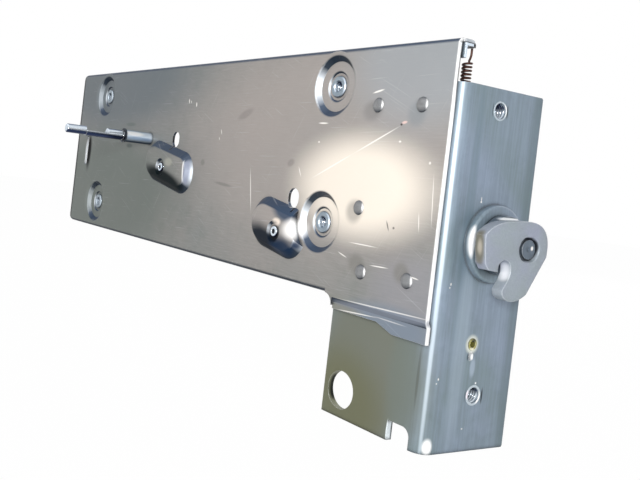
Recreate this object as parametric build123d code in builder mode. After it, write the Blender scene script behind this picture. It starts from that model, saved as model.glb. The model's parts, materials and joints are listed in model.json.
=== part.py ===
from build123d import *
import math
import os

# Truck door lock with a rotary claw, a remote spindle and a pull bar, in millimetres.
# X runs along the main plate to the face plate, Y away from the viewer, Z up.
# It is drawn with X = 0 on the outer face of the face plate, Y = 0 on the outer face of the
# main plate and Z = 0 at the height of the claw's axis. Each finished piece is then moved, so
# that zero is the point on the face plate's outer face where the door's edge bears.
origin_y = 30.0
origin_z = 30.0

# Main plate, a shallow pressed channel
sheet = 1.6
plate_length = 384.0
plate_end_gap = 2.3
plate_top = 81.0
plate_bottom = -33.0
channel_depth = 9.5
channel_lip = 3.0
sheet_bend = 2.5
plate_corner = 5.0
strip_left = -61.5
strip_bottom = -43.0
strip_short_bottom = -39.5
strip_step_left = -32.0
strip_step_right = -22.0
strip_corner = 5.0
joggle_height = 2.1
joggle_start = 1.3
shim_thickness = 1.2

# Four dished mounting points
dish_radius = 14.9
dish_rim = 16.5
dish_depth = 2.5
dish_bend = 1.2
ring_radius = 7.7
ring_depth = 0.8
dish_left = -339.0
dish_right = -77.0
dish_top = 63.5
dish_low_left = -14.5
dish_low_right = -1.3

# Two raised pockets that carry the lever pins
pocket_radius = 13.0
pocket_rise = 4.0
pocket_slope = 10.0
pocket_edge = 2.0
pocket_back = 11.0
pocket_over = 4.0
pocket_length_left = 34.5
pocket_length_right = 20.0
pocket_floor_right = 14.0
seat_radius = 5.5
seat_floor_radius = 4.2
seat_depth = 1.2
seat_pad_radius = 6.4
seat_pad = 1.2
eye_width = 8.6
eye_height = 10.0
eye_right = (-98.5, 8.2)
eye_left = (-225.8, 34.2)
eye_slit = 1.0
slit_x = -365.0
slit_bottom = 11.5
slit_top = 33.3
slit_width = 4.0

# Face bracket
bracket_thickness = 3.0
bracket_left = -62.4
bracket_top = 63.8
bracket_bottom = -87.0
bracket_bend = 6.0
face_width = 52.0
face_corner = 1.0
notch_left = -19.7
notch_right = -7.2
notch_top = -78.5
notch_corner = 4.0
tab_hole_x = -51.1
tab_hole_z = -74.7
tab_hole_radius = 8.5
boss_radius = 16.2
boss_height = 3.5
boss_edge = 1.2
screw_radius = 3.4
screw_sink_radius = 4.0
screw_sink = 0.6
screw_upper = (25.8, 54.7)
screw_lower = (29.9, -63.6)
nib_place = (25.4, -47.2)
nib_width = 1.6
nib_height = 2.8
nib_rise = 0.8

# Rivets between plate, shim and bracket
rivet_places = [(-45.0, 54.0), (-18.5, 54.0), (-50.0, 8.0), (-44.0, -20.0), (-15.7, -19.2)]
rivet_radius = 1.95
rivet_head_radius = 2.6
rivet_head = 1.5
rivet_tail_radius = 3.0
rivet_tail = 1.1
rivet_edge = 0.5
shim_right = -8.0
shim_top = 59.0
shim_gap = 0.2

# Threaded mounting bushes
bush_neck_radius = 3.9
bush_body_radius = 5.5
bush_flange_radius = 5.2
bush_flange = 1.0
bush_bore_radius = 2.5
bush_end = 12.0
bush_mouth = 0.5

# Rotor: claw, shaft and ratchet wheel
rotor_y = 30.0
claw_front = 19.5
claw_thickness = 5.0
claw_sink_height = 10.2
claw_sink_width = 12.4
claw_sink_shift = 0.9
claw_sink_slope = 25.0
claw_sink = 2.0
neck_radius = 7.0
collar_radius = 8.5
collar_gap = 0.8
flange_radius = 12.2
flange_front = 8.0
shaft_end_radius = 4.0
shaft_flat = 3.2
peen_radius = 3.9
peen_height = 0.9
dimple_radius = 1.2
dimple_depth = 0.5
wheel_front = -8.0
wheel_thickness = 5.0
wheel_square = 9.0
wheel_root = 10.0
wheel_tip = 14.0
wheel_notch = 18.0
half_latch = 30.0
full_latch = 60.0
arm_thickness = 2.0
lug_reach = 19.1
lug_drop = 3.0
lug_radius = 3.0
lug_hole_radius = 0.95
journal_radius = 4.5
rotor_bush_radius = 9.5
rotor_bush_flange_radius = 12.4
rotor_bush_flange = 1.6
running_gap = 0.05

# Claw outline, as (y, z) from the rotor axis
claw_lobe = [(-18.0, -9.4), (-23.4, -8.9), (-25.6, -6.4), (-26.6, -1.2), (-27.2, 4.4)]
claw_shoulder = [(-27.2, 4.4), (-20.6, 8.9), (-13.1, 10.5), (-2.5, 11.1)]
claw_nape = [(-2.5, 11.1), (8.2, 7.2), (10.0, -2.6)]
claw_back_edge = [(10.0, -2.6), (0.2, -17.8)]
claw_hook = [(0.2, -17.8), (-4.0, -20.0), (-9.9, -20.6), (-13.6, -18.6), (-14.2, -16.4)]
claw_throat = [(-14.2, -16.4), (-11.6, -12.2), (-10.6, -8.8), (-11.6, -5.8), (-14.2, -4.7)]
claw_root = [(-14.2, -4.7), (-17.0, -5.6), (-18.1, -7.4), (-18.0, -9.4)]

# Inner bridge behind the face plate
bridge_front = -14.0
bridge_thickness = 2.5
bridge_left = 15.0
bridge_right = 47.0
bridge_top = 27.0
bridge_bottom = -54.0
bridge_bend = 3.5

# Pawl
pawl_y = 25.7
pawl_z = -42.1
pawl_pin_radius = 2.45
pawl_pin_bore = 1.5
pawl_pin_bore_depth = 6.0
pawl_pin_proud = 0.3
pawl_hub_radius = 6.0
pawl_arm_width = 7.0
pawl_tail_width = 6.0
pawl_clearance = 0.3
pawl_tip_start = -40.0
pawl_tip_angle = 14.0
pawl_tip_height = 4.0
pawl_elbow_out = 1.0
pawl_tail_end = 9.6

# Levers behind the main plate
lever_front = 6.2
lever_thickness = 2.6
lever_pin_left = (-236.0, 16.0)
lever_pin_right = (-107.0, -9.7)
lever_hub_radius = 9.0
lever_pin_radius = 3.0
lever_pin_shoulder = 5.0
lever_pin_rivet = 2.75
lever_pin_bore = 1.3
lever_pin_bore_depth = 3.0
lever_pin_end = 10.8
lever_clip = 0.8
arm_width = 10.0
rod_arm_width = 9.0
rod_hole_radius = 2.5
rod_hole = (-365.0, 28.5)
stud_radius = 2.0
stud_height = 64.0
stud_rivet = 0.6
pull_stud_x = -226.0
pull_elbow = (-222.0, 30.0)
rod_elbow_near = (-262.0, 15.0)
rod_elbow_far = (-330.0, 28.5)
release_stud_x = -124.0
release_bow_low = (-126.0, 8.0)
release_bow_high = (-126.0, 55.0)
nose_elbow_near = (-72.0, -18.5)
nose_elbow_far = (-48.0, -31.5)
nose_x = -12.0
nose_radius = 4.0
nose_gap = 2.5
nose_pin_radius = 2.5
nose_pin_end = 11.5

# Pull bar
bar_front = 2.2
bar_thickness = 1.1
bar_top = 79.1
bar_leg_bottom = 73.0
bar_shelf_back = 6.8
bar_right = -1.0
bar_left = -275.0
bar_notch_left = -98.0
bar_notch_right = -55.0
bar_notch_depth = 1.0
ear_width = 14.0
ear_drop = 6.0
crank_ear_drop = 4.6
ear_gap = 0.25
slot_reach = 3.2
clip_width = 12.0
clip_places = [-205.0, -150.0, -30.0]
clip_sheet = 1.0
clip_foot = 64.5
clip_gap = 0.4

# Spindle
spindle_x = -261.3
spindle_z = 33.6
spindle_radius = 3.2
spindle_tip = 59.0
spindle_tip_radius = 2.8
flat_near = 46.0
flat_far = 31.0
spindle_bush_radius = 4.0
spindle_bush_length = 18.5
spindle_flange_radius = 6.2
spindle_flange = 1.0
spindle_square = 4.4
spindle_peen = 0.8
spindle_clip_radius = 4.7
spindle_clip = 0.7
spindle_groove_radius = 2.6
crank_front = 4.0
crank_thickness = 2.6
crank_hub_radius = 6.5
crank_radius = 12.0

# Springs
spring_wire = 0.95
spring_radius = 1.75
spring_pitch = 1.5
rotor_spring_x = -7.0
rotor_spring_y = 10.9
rotor_coil_bottom = 22.0
rotor_coil_turns = 33
hook_hole_y = 6.9
hook_bend = 1.2
return_wire = 0.9
return_radius = 2.6
return_pitch = 1.45
return_turns = 20
return_coil_left = -284.0
return_y = 7.4
return_z = -4.0
anchor_x = -291.0
anchor_thickness = 1.2
anchor_height = 10.0
tail_hole_x = -240.0
pawl_wire = 0.8
pawl_coil_radius = 4.6
pawl_coil_pitch = 1.3
pawl_coil_turns = 2.5
pawl_coil_front = -3.8
pawl_leg = 8.0

# Worked-out places
plate_left = -plate_length
plate_right = -plate_end_gap
plate_middle = (plate_top + plate_bottom) / 2
plate_height = plate_top - plate_bottom
bracket_front = sheet + shim_thickness
bracket_back = bracket_front + bracket_thickness
lever_back = lever_front + lever_thickness
bar_back = bar_front + bar_thickness
crank_back = crank_front + crank_thickness
arm_front = wheel_front + arm_thickness
claw_back = claw_front - claw_thickness
wheel_back = wheel_front - wheel_thickness
bridge_back = bridge_front - bridge_thickness
dish_places = [
    (dish_left, dish_top),
    (dish_left, dish_low_left),
    (dish_right, dish_top),
    (dish_right, dish_low_right),
]


def facing(y):
    """Sketch plane at depth y that faces the viewer, with local axes X and Z."""
    return Plane(origin=(0, y, 0), x_dir=(1, 0, 0), z_dir=(0, -1, 0))


def block(x0, x1, y0, y1, z0, z1, mode=Mode.ADD):
    """Square-edged block between two corners."""
    with Locations(((x0 + x1) / 2, (y0 + y1) / 2, (z0 + z1) / 2)):
        Box(x1 - x0, y1 - y0, z1 - z0, mode=mode)


def post(place, near, far, radius, far_radius=None, mode=Mode.ADD):
    """Round post or cone along Y, at an (x, z) place."""
    with Locations(Location((place[0], (near + far) / 2, place[1]), (90, 0, 0))):
        if far_radius is None:
            Cylinder(radius, far - near, mode=mode)
        else:
            Cone(far_radius, radius, far - near, mode=mode)


def bar(place, back, front, radius, front_radius=None, mode=Mode.ADD):
    """Round bar or cone along X, at a (y, z) place."""
    with Locations(Location(((back + front) / 2, place[0], place[1]), (0, 90, 0))):
        if front_radius is None:
            Cylinder(radius, front - back, mode=mode)
        else:
            Cone(radius, front_radius, front - back, mode=mode)


def limb(points, width):
    """Flat lever limb along a line of (x, z) points, with round ends and corners."""
    for start, end in zip(points, points[1:]):
        run = math.dist(start, end)
        turn = math.degrees(math.atan2(end[1] - start[1], end[0] - start[0]))
        with Locations(((start[0] + end[0]) / 2, (start[1] + end[1]) / 2)):
            SlotCenterToCenter(run, width, rotation=turn)


def biarc(start, start_way, end, end_way):
    """Two arcs that join two points in two given directions."""
    chord = end - start
    both = start_way + end_way
    spread = 2 * (1 - start_way.dot(end_way))
    along = chord.dot(both)
    if spread < 1e-9:
        Line(start, end)
        return
    reach = (math.sqrt(along * along + spread * chord.dot(chord)) - along) / spread
    first = start + start_way * reach
    second = end - end_way * reach
    middle = (first + second) * 0.5
    TangentArc(start, middle, tangent=start_way)
    TangentArc(middle, end, tangent=(second - first).normalized())


def coil(origin, axis, side, radius, pitch, turns, first_angle=0.0):
    """Draw a coil on biarcs of a quarter turn and return its first and last point and way."""
    other = axis.cross(side)
    steps = round(turns * 4)
    rise = pitch / (2 * math.pi * radius)
    points = []
    ways = []
    for step in range(steps + 1):
        angle = first_angle + step * math.pi / 2
        out = side * math.cos(angle) + other * math.sin(angle)
        round_way = other * math.cos(angle) - side * math.sin(angle)
        points.append(origin + out * radius + axis * (pitch * step / 4))
        ways.append((round_way + axis * rise).normalized())
    for step in range(steps):
        biarc(points[step], ways[step], points[step + 1], ways[step + 1])
    return points[0], ways[0], points[-1], ways[-1]


def wire_along(path, wire):
    """Sweep a round wire along a finished line."""
    with BuildSketch(Plane(origin=path.line @ 0, z_dir=path.line % 0)) as section:
        Circle(wire / 2)
    sweep(section.sketch, path=path.line)


def least_gap(name, radius, pitch, turns, wire):
    """Print the least gap between neighbouring turns, measured on points of the wire's line."""
    count = 48
    line = []
    for step in range(int(turns * count) + 1):
        angle = 2 * math.pi * step / count
        line.append((radius * math.cos(angle), radius * math.sin(angle), pitch * step / count))
    near = min(
        math.dist(line[i], line[j])
        for i in range(0, len(line), 4)
        for j in range(i + count // 2, min(len(line), i + 2 * count))
    )
    print(name, "least gap between turns", round(near - wire, 2), "mm")


def from_rotor(points):
    """Points given from the rotor axis, as places in the row."""
    return [(rotor_y + y, z) for y, z in points]


def save(piece, name):
    """Move a finished piece to the row's zero, label it and write it."""
    placed = piece.part.moved(Location((0, -origin_y, -origin_z)))
    placed.label = name
    export_step(placed, f"parts/{name}.step")


os.makedirs("parts", exist_ok=True)

# Main plate: channel, dished mounting points, raised pockets and the joggled strip
pocket_centres = []
for pin, length in ((lever_pin_left, pocket_length_left), (lever_pin_right, pocket_length_right)):
    start = (pin[0] - pocket_back, pin[1] + pocket_over)
    turn = math.radians(-pocket_slope)
    half = (length / 2 * math.cos(turn), length / 2 * math.sin(turn))
    pocket_centres.append(((start[0] + half[0], start[1] + half[1]), length, start))

with BuildPart() as main_plate:
    with BuildSketch(Plane.YZ.offset(plate_left)):
        with Locations((channel_depth / 2, plate_middle)):
            RectangleRounded(channel_depth, plate_height, sheet_bend)
            RectangleRounded(
                channel_depth - 2 * sheet,
                plate_height - 2 * sheet,
                sheet_bend - sheet,
                mode=Mode.SUBTRACT,
            )
        with Locations((channel_depth - sheet / 2, plate_middle)):
            Rectangle(2 * sheet, plate_height - 2 * channel_lip, mode=Mode.SUBTRACT)
    extrude(amount=plate_length - plate_end_gap)
    # The lower flange stops where the bracket's tab begins
    flange_end = strip_left - strip_corner
    block(
        flange_end, 0, sheet, 2 * channel_depth,
        plate_bottom - sheet, plate_bottom + 2 * channel_lip, mode=Mode.SUBTRACT,
    )
    # Strip that steps back on to the tab
    with BuildSketch(Plane.YZ.offset(strip_left)):
        with BuildLine():
            step_top = plate_bottom - joggle_start
            step_end = step_top - joggle_height
            inner_lift = sheet * math.tan(math.radians(15))
            Polyline(
                (0, plate_bottom + 2 * sheet_bend),
                (0, step_top),
                (shim_thickness, step_end),
                (shim_thickness, strip_bottom),
                (bracket_front, strip_bottom),
                (bracket_front, step_end + inner_lift),
                (sheet, step_top + inner_lift),
                (sheet, plate_bottom + 2 * sheet_bend),
                close=True,
            )
        make_face()
    extrude(amount=plate_right - strip_left)
    block(flange_end, strip_left, 0, sheet, plate_bottom, plate_bottom + 2 * sheet_bend)
    with BuildSketch(facing(2 * sheet)):
        with BuildLine():
            Polyline(
                (strip_left - 1, strip_short_bottom),
                (strip_step_left, strip_short_bottom),
                (strip_step_right, strip_bottom),
                (strip_step_right, strip_bottom - 1),
                (strip_left - 1, strip_bottom - 1),
                close=True,
            )
        make_face()
    extrude(amount=4 * sheet, mode=Mode.SUBTRACT)
    with BuildSketch(facing(sheet)):
        with Locations((flange_end, plate_bottom)):
            Rectangle(strip_corner, strip_corner, align=(Align.MIN, Align.MAX))
        with Locations((flange_end, plate_bottom - strip_corner)):
            Circle(strip_corner, mode=Mode.SUBTRACT)
    extrude(amount=sheet)
    # Rounded left corners
    for height, way in ((plate_top, -1), (plate_bottom, 1)):
        with BuildSketch(facing(channel_depth + 1)):
            with Locations((plate_left, height + way * plate_corner / 2)):
                Rectangle(2 * plate_corner, plate_corner)
            with Locations((plate_left + plate_corner, height + way * plate_corner)):
                Circle(plate_corner, mode=Mode.SUBTRACT)
            with Locations((plate_left + plate_corner * 1.5, height + way * plate_corner / 2)):
                Rectangle(plate_corner, plate_corner, mode=Mode.SUBTRACT)
        extrude(amount=channel_depth + 2, mode=Mode.SUBTRACT)
    # Raised pockets, with a seat for each pin's head
    for centre, length, start in pocket_centres:
        with BuildSketch(facing(0)):
            with Locations(centre):
                SlotCenterToCenter(length, 2 * pocket_radius, rotation=-pocket_slope)
        extrude(amount=pocket_rise, taper=45)
        crest = main_plate.edges().filter_by_position(
            Axis.Y, -pocket_rise - 0.01, -pocket_rise + 0.01
        )
        near_crest = crest.filter_by_position(
            Axis.X, centre[0] - length - pocket_radius, centre[0] + length + pocket_radius
        )
        fillet(near_crest, radius=pocket_edge)
    inner_radius = pocket_radius - sheet * math.sqrt(2) + sheet
    for pin, length in ((lever_pin_left, pocket_length_left), (lever_pin_right, pocket_floor_right)):
        turn = math.radians(-pocket_slope)
        middle = (
            pin[0] - pocket_back + length / 2 * math.cos(turn),
            pin[1] + pocket_over + length / 2 * math.sin(turn),
        )
        with BuildSketch(facing(sheet)):
            with Locations(middle):
                SlotCenterToCenter(length, 2 * inner_radius, rotation=-pocket_slope)
        extrude(amount=pocket_rise, taper=45, mode=Mode.SUBTRACT)
        post(pin, sheet - pocket_rise, sheet - pocket_rise + seat_pad, seat_pad_radius)
        post(
            pin, -pocket_rise, -pocket_rise + seat_depth, seat_radius, seat_floor_radius,
            mode=Mode.SUBTRACT,
        )
        post(pin, -pocket_rise, sheet, lever_pin_rivet, mode=Mode.SUBTRACT)
    # Dished mounting points, pressed inwards round each bush
    for place in dish_places:
        post(place, -2 * pocket_rise, sheet, dish_rim, mode=Mode.SUBTRACT)
        with BuildSketch(Plane(origin=(place[0], 0, place[1]), x_dir=(1, 0, 0), z_dir=(0, 0, 1))):
            with BuildLine():
                half_sheet = sheet / 2
                FilletPolyline(
                    (dish_rim, half_sheet),
                    (dish_radius, half_sheet),
                    (dish_radius - dish_depth, half_sheet + dish_depth),
                    (ring_radius, half_sheet + dish_depth),
                    (ring_radius - ring_depth, half_sheet + dish_depth + ring_depth),
                    (bush_neck_radius, half_sheet + dish_depth + ring_depth),
                    radius=[dish_bend, dish_bend, ring_depth, ring_depth],
                )
            trace(line_width=sheet)
        revolve(axis=Axis((place[0], 0, place[1]), (0, 1, 0)))
    # Eyes beside the pockets, the slit for the pull rod, and the holes
    with BuildSketch(facing(sheet + 1)):
        for eye, way in ((eye_right, 1), (eye_left, -1)):
            with Locations(eye):
                SlotOverall(eye_height, eye_width, rotation=90)
            with Locations((eye[0] + way * eye_width / 4, eye[1] - eye_height / 2)):
                Rectangle(eye_slit, eye_width / 2)
        with Locations((slit_x, (slit_bottom + slit_top) / 2)):
            SlotOverall(slit_top - slit_bottom, slit_width, rotation=90)
        with Locations(rivet_places):
            Circle(rivet_radius)
        with Locations((spindle_x, spindle_z)):
            Circle(spindle_bush_radius)
    extrude(amount=2 * sheet + pocket_rise, mode=Mode.SUBTRACT)
    with Locations((rotor_spring_x, hook_hole_y, plate_top - sheet)):
        Cylinder(spring_wire, 4 * sheet, mode=Mode.SUBTRACT)
save(main_plate, "main_plate")

# Face bracket: a folded plate with the tab below and the face plate on the right
with BuildPart() as face_bracket:
    with BuildSketch(Plane.XY.offset(bracket_bottom)):
        with BuildLine():
            half_thick = bracket_thickness / 2
            FilletPolyline(
                (bracket_left, bracket_front + half_thick),
                (-half_thick, bracket_front + half_thick),
                (-half_thick, face_width),
                radius=bracket_bend - half_thick,
            )
        trace(line_width=bracket_thickness)
    extrude(amount=bracket_top - bracket_bottom)
    outer_corners = face_bracket.edges().filter_by(Axis.X).group_by(Axis.Y)[-1]
    fillet(outer_corners, radius=face_corner)
    # Notch at the foot of the tab
    with BuildSketch(facing(bracket_back + bracket_bend)):
        with Locations((notch_left, notch_top)):
            Rectangle(
                notch_right - notch_left,
                notch_top - bracket_bottom + 1,
                align=(Align.MIN, Align.MAX),
            )
        with Locations((notch_right, notch_top)):
            Rectangle(notch_corner, notch_corner, align=(Align.MAX, Align.MAX), mode=Mode.SUBTRACT)
        with Locations((notch_right - notch_corner, notch_top - notch_corner)):
            Circle(notch_corner)
        with Locations((tab_hole_x, tab_hole_z)):
            Circle(tab_hole_radius)
        with Locations(rivet_places):
            Circle(rivet_radius)
    extrude(amount=bracket_thickness + bracket_bend + sheet, mode=Mode.SUBTRACT)
    # Boss round the rotor shaft
    bar((rotor_y, 0), -bracket_thickness, boss_height, boss_radius)
    rim = face_bracket.edges().filter_by(GeomType.CIRCLE).group_by(Axis.X)[-1]
    fillet(rim, radius=boss_edge)
    bar(
        (rotor_y, 0), -bracket_thickness, boss_height - bracket_thickness,
        boss_radius - bracket_thickness, mode=Mode.SUBTRACT,
    )
    bar((rotor_y, 0), -bracket_thickness, boss_height, rotor_bush_radius, mode=Mode.SUBTRACT)
    for place in (screw_upper, screw_lower):
        bar(place, -bracket_thickness, 0, screw_radius, mode=Mode.SUBTRACT)
        bar(place, -screw_sink, 0, screw_radius, screw_sink_radius, mode=Mode.SUBTRACT)
    bar((pawl_y, pawl_z), -bracket_thickness, 0, pawl_pin_radius, mode=Mode.SUBTRACT)
    with BuildSketch(Plane.YZ):
        with Locations(nib_place):
            SlotOverall(nib_height, nib_width, rotation=90)
    extrude(amount=nib_rise)
save(face_bracket, "face_bracket")

# Packing shim between the plate and the bracket
with BuildPart() as backing_shim:
    block(
        strip_left, shim_right, sheet, bracket_front,
        plate_bottom - shim_gap, shim_top,
    )
    for place in rivet_places:
        post(place, sheet, bracket_front, rivet_radius, mode=Mode.SUBTRACT)
save(backing_shim, "backing_shim")

with BuildPart() as bracket_rivets:
    for place in rivet_places:
        post(place, 0, bracket_back, rivet_radius)
        post(place, -rivet_head, 0, rivet_head_radius)
        post(place, bracket_back, bracket_back + rivet_tail, rivet_tail_radius)
    heads = bracket_rivets.edges().filter_by(GeomType.CIRCLE).group_by(Axis.Y)[0]
    fillet(heads, radius=rivet_edge)
    tails = bracket_rivets.edges().filter_by(GeomType.CIRCLE).group_by(Axis.Y)[-1]
    fillet(tails, radius=rivet_edge)
save(bracket_rivets, "bracket_rivets")

# Threaded bushes riveted in the four dishes
bush_seat = sheet + dish_depth + ring_depth
with BuildPart() as mounting_bushes:
    for place in dish_places:
        post(place, bush_seat - sheet, bush_seat, bush_neck_radius)
        post(place, bush_seat - sheet - bush_flange, bush_seat - sheet, bush_flange_radius)
        post(place, bush_seat, bush_end, bush_body_radius)
        post(place, bush_seat - sheet - bush_flange, bush_end, bush_bore_radius, mode=Mode.SUBTRACT)
    mouths = mounting_bushes.edges().filter_by(GeomType.CIRCLE).group_by(Axis.Y)[0]
    chamfer(mouths, length=bush_mouth)
save(mounting_bushes, "mounting_bushes")

# Weld nuts behind the two screw holes of the face plate
with BuildPart() as face_nuts:
    nut_back = -bracket_thickness - 2 * screw_radius
    with BuildSketch(Plane.YZ.offset(nut_back)):
        for place in (screw_upper, screw_lower):
            with Locations(place):
                RegularPolygon(screw_radius + 3.1, 6, major_radius=False)
                Circle(screw_radius, mode=Mode.SUBTRACT)
    extrude(amount=2 * screw_radius)
save(face_nuts, "face_nuts")

# Rotor bush in the boss, with its flange behind
with BuildPart() as rotor_bush:
    boss_floor = boss_height - bracket_thickness
    bar((rotor_y, 0), boss_floor - rotor_bush_flange, boss_height + running_gap, rotor_bush_radius)
    bar((rotor_y, 0), boss_floor - rotor_bush_flange, boss_floor, rotor_bush_flange_radius)
    bar(
        (rotor_y, 0), boss_floor - rotor_bush_flange, boss_height + running_gap,
        neck_radius + running_gap, mode=Mode.SUBTRACT,
    )
save(rotor_bush, "rotor_bush")

# Claw: two jaws round the striker's notch, seen from outside with the hook down
with BuildPart() as rotor_claw:
    with BuildSketch(Plane.YZ.offset(claw_back)):
        with BuildLine():
            for points in (claw_lobe, claw_back_edge):
                Polyline(*from_rotor(points))
            for points in (claw_shoulder, claw_nape, claw_hook, claw_throat, claw_root):
                Spline(*from_rotor(points))
        make_face()
    extrude(amount=claw_thickness)
    with BuildSketch(Plane.YZ.offset(claw_front)) as sink:
        with Locations((rotor_y - claw_sink_shift, 0)):
            SlotOverall(claw_sink_width, claw_sink_height)
    extrude(sink.sketch, amount=-claw_sink, taper=claw_sink_slope, mode=Mode.SUBTRACT)
    with BuildSketch(Plane.YZ.offset(claw_back)):
        with Locations((rotor_y, 0)):
            Circle(shaft_end_radius)
            Rectangle(2 * shaft_flat, 2 * shaft_end_radius, mode=Mode.INTERSECT)
    extrude(amount=claw_thickness, mode=Mode.SUBTRACT)
save(rotor_claw, "rotor_claw")

shaft_back = bridge_back - 3.0
clip_back = bridge_back - 1.6
clip_front = bridge_back - 0.5
with BuildPart() as rotor_shaft:
    bar((rotor_y, 0), arm_front, claw_back, neck_radius)
    bar((rotor_y, 0), boss_height + collar_gap, claw_back, collar_radius)
    bar((rotor_y, 0), boss_height + collar_gap, flange_front, flange_radius)
    with BuildSketch(Plane.YZ.offset(claw_back)):
        with Locations((rotor_y, 0)):
            Circle(shaft_end_radius)
            Rectangle(2 * shaft_flat, 2 * shaft_end_radius, mode=Mode.INTERSECT)
    extrude(amount=claw_thickness - claw_sink)
    bar(
        (rotor_y, 0), claw_front - claw_sink, claw_front - claw_sink + peen_height, peen_radius,
    )
    bar(
        (rotor_y, 0), claw_front - claw_sink + peen_height - dimple_depth,
        claw_front - claw_sink + peen_height, 0.3, dimple_radius, mode=Mode.SUBTRACT,
    )
    block(
        wheel_back, arm_front,
        rotor_y - wheel_square / 2, rotor_y + wheel_square / 2,
        -wheel_square / 2, wheel_square / 2,
    )
    bar((rotor_y, 0), shaft_back, wheel_back, journal_radius)
    bar((rotor_y, 0), clip_back, clip_front, journal_radius + 1, mode=Mode.SUBTRACT)
    bar((rotor_y, 0), clip_back, clip_front, journal_radius - 0.7)
save(rotor_shaft, "rotor_shaft")

# Ratchet wheel: a round rim with one notch for the half latch and one for the full latch
tooth_marks = []
for latch in (full_latch, half_latch):
    tooth_marks.append((pawl_tip_start - latch - wheel_notch, wheel_tip, wheel_root))
    tooth_marks.append((pawl_tip_start - latch, wheel_root, wheel_tip))
with BuildPart() as ratchet_wheel:
    with BuildSketch(Plane.YZ.offset(wheel_back)):
        with BuildLine():
            corners = []
            for degrees, before, after in tooth_marks:
                angle = math.radians(degrees)
                for radius in (before, after):
                    corners.append((rotor_y + radius * math.cos(angle), radius * math.sin(angle)))
            for index in range(len(tooth_marks)):
                low = corners[2 * index]
                high = corners[2 * index + 1]
                Line(low, high)
                degrees, before, after = tooth_marks[index]
                following = tooth_marks[(index + 1) % len(tooth_marks)][0]
                if following < degrees:
                    following += 360
                middle = math.radians((degrees + following) / 2)
                bulge = (rotor_y + after * math.cos(middle), after * math.sin(middle))
                ThreePointArc(high, bulge, corners[(2 * index + 2) % len(corners)])
        make_face()
        with Locations((rotor_y, 0)):
            Rectangle(wheel_square, wheel_square, mode=Mode.SUBTRACT)
    extrude(amount=wheel_thickness)
save(ratchet_wheel, "ratchet_wheel")

# Arm beside the wheel that the rotor spring pulls up
with BuildPart() as spring_arm:
    with BuildSketch(Plane.YZ.offset(wheel_front)):
        with Locations((rotor_y, 0)):
            Circle(wheel_root)
        limb([(rotor_y, 0), (rotor_y - lug_reach, -lug_drop)], 2 * lug_radius)
        with Locations((rotor_y, 0)):
            Rectangle(wheel_square, wheel_square, mode=Mode.SUBTRACT)
        with Locations((rotor_y - lug_reach, -lug_drop)):
            Circle(lug_hole_radius, mode=Mode.SUBTRACT)
    extrude(amount=arm_thickness)
save(spring_arm, "spring_arm")


def clip_ring(plane, centre, inner, outer, thickness, mouth_turn):
    """Snap ring with a mouth, drawn on a plane and thickened along its normal."""
    with BuildSketch(plane) as ring:
        with Locations(centre):
            Circle(outer)
            Circle(inner, mode=Mode.SUBTRACT)
        mouth = math.radians(mouth_turn)
        with Locations((
            centre[0] + outer * math.cos(mouth) / 1.2,
            centre[1] + outer * math.sin(mouth) / 1.2,
        )):
            Rectangle(outer, inner, rotation=mouth_turn, mode=Mode.SUBTRACT)
    extrude(ring.sketch, amount=thickness)


with BuildPart() as rotor_clip:
    clip_ring(
        Plane.YZ.offset(clip_back), (rotor_y, 0), journal_radius - 0.7, journal_radius + 2.4,
        clip_front - clip_back, -90,
    )
save(rotor_clip, "rotor_clip")

# Inner bridge that carries the inner ends of the shaft and the pawl pin
with BuildPart() as inner_bridge:
    half_bridge = bridge_thickness / 2
    with BuildSketch(Plane.XZ.offset(-bridge_left)):
        with BuildLine():
            FilletPolyline(
                (-bracket_thickness, bridge_top - half_bridge),
                (bridge_front - half_bridge, bridge_top - half_bridge),
                (bridge_front - half_bridge, bridge_bottom + half_bridge),
                (-bracket_thickness, bridge_bottom + half_bridge),
                radius=bridge_bend,
            )
        trace(line_width=bridge_thickness)
    extrude(amount=bridge_left - bridge_right)
    bar((rotor_y, 0), bridge_back, bridge_front, journal_radius + running_gap, mode=Mode.SUBTRACT)
    bar((pawl_y, pawl_z), bridge_back, bridge_front, pawl_pin_radius, mode=Mode.SUBTRACT)
save(inner_bridge, "inner_bridge")

# Pawl and its hollow pin
tip_near = math.radians(pawl_tip_start)
tip_far = tip_near - math.radians(pawl_tip_angle)
tip_floor = (wheel_tip + pawl_clearance) / math.cos((tip_near - tip_far) / 2)
tip_top = tip_floor + pawl_tip_height


def polar(radius, angle):
    """Point at a radius and angle about the rotor axis."""
    return (rotor_y + radius * math.cos(angle), radius * math.sin(angle))


with BuildPart() as pawl:
    with BuildSketch(Plane.YZ.offset(wheel_back)):
        with Locations((pawl_y, pawl_z)):
            Circle(pawl_hub_radius)
        # A straight arm runs clear of the wheel to the tip
        elbow = (rotor_y + wheel_tip + pawl_elbow_out, pawl_z / 2 - pawl_elbow_out)
        limb([(pawl_y, pawl_z), elbow], pawl_arm_width)
        with BuildLine():
            Polyline(
                polar(tip_floor, tip_far),
                polar(tip_floor, tip_near),
                polar(tip_top, tip_near),
                (elbow[0] + pawl_arm_width / 2, elbow[1] + pawl_elbow_out),
                (elbow[0] - pawl_arm_width / 4, elbow[1] - pawl_arm_width / 2),
                polar(tip_top, tip_far),
                close=True,
            )
        make_face()
        with Locations(((pawl_tail_end + pawl_y) / 2, pawl_z)):
            Rectangle(pawl_y - pawl_tail_end, pawl_tail_width)
        with Locations((pawl_y, pawl_z)):
            Circle(pawl_pin_radius + running_gap, mode=Mode.SUBTRACT)
    extrude(amount=wheel_thickness)
save(pawl, "pawl")

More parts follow.
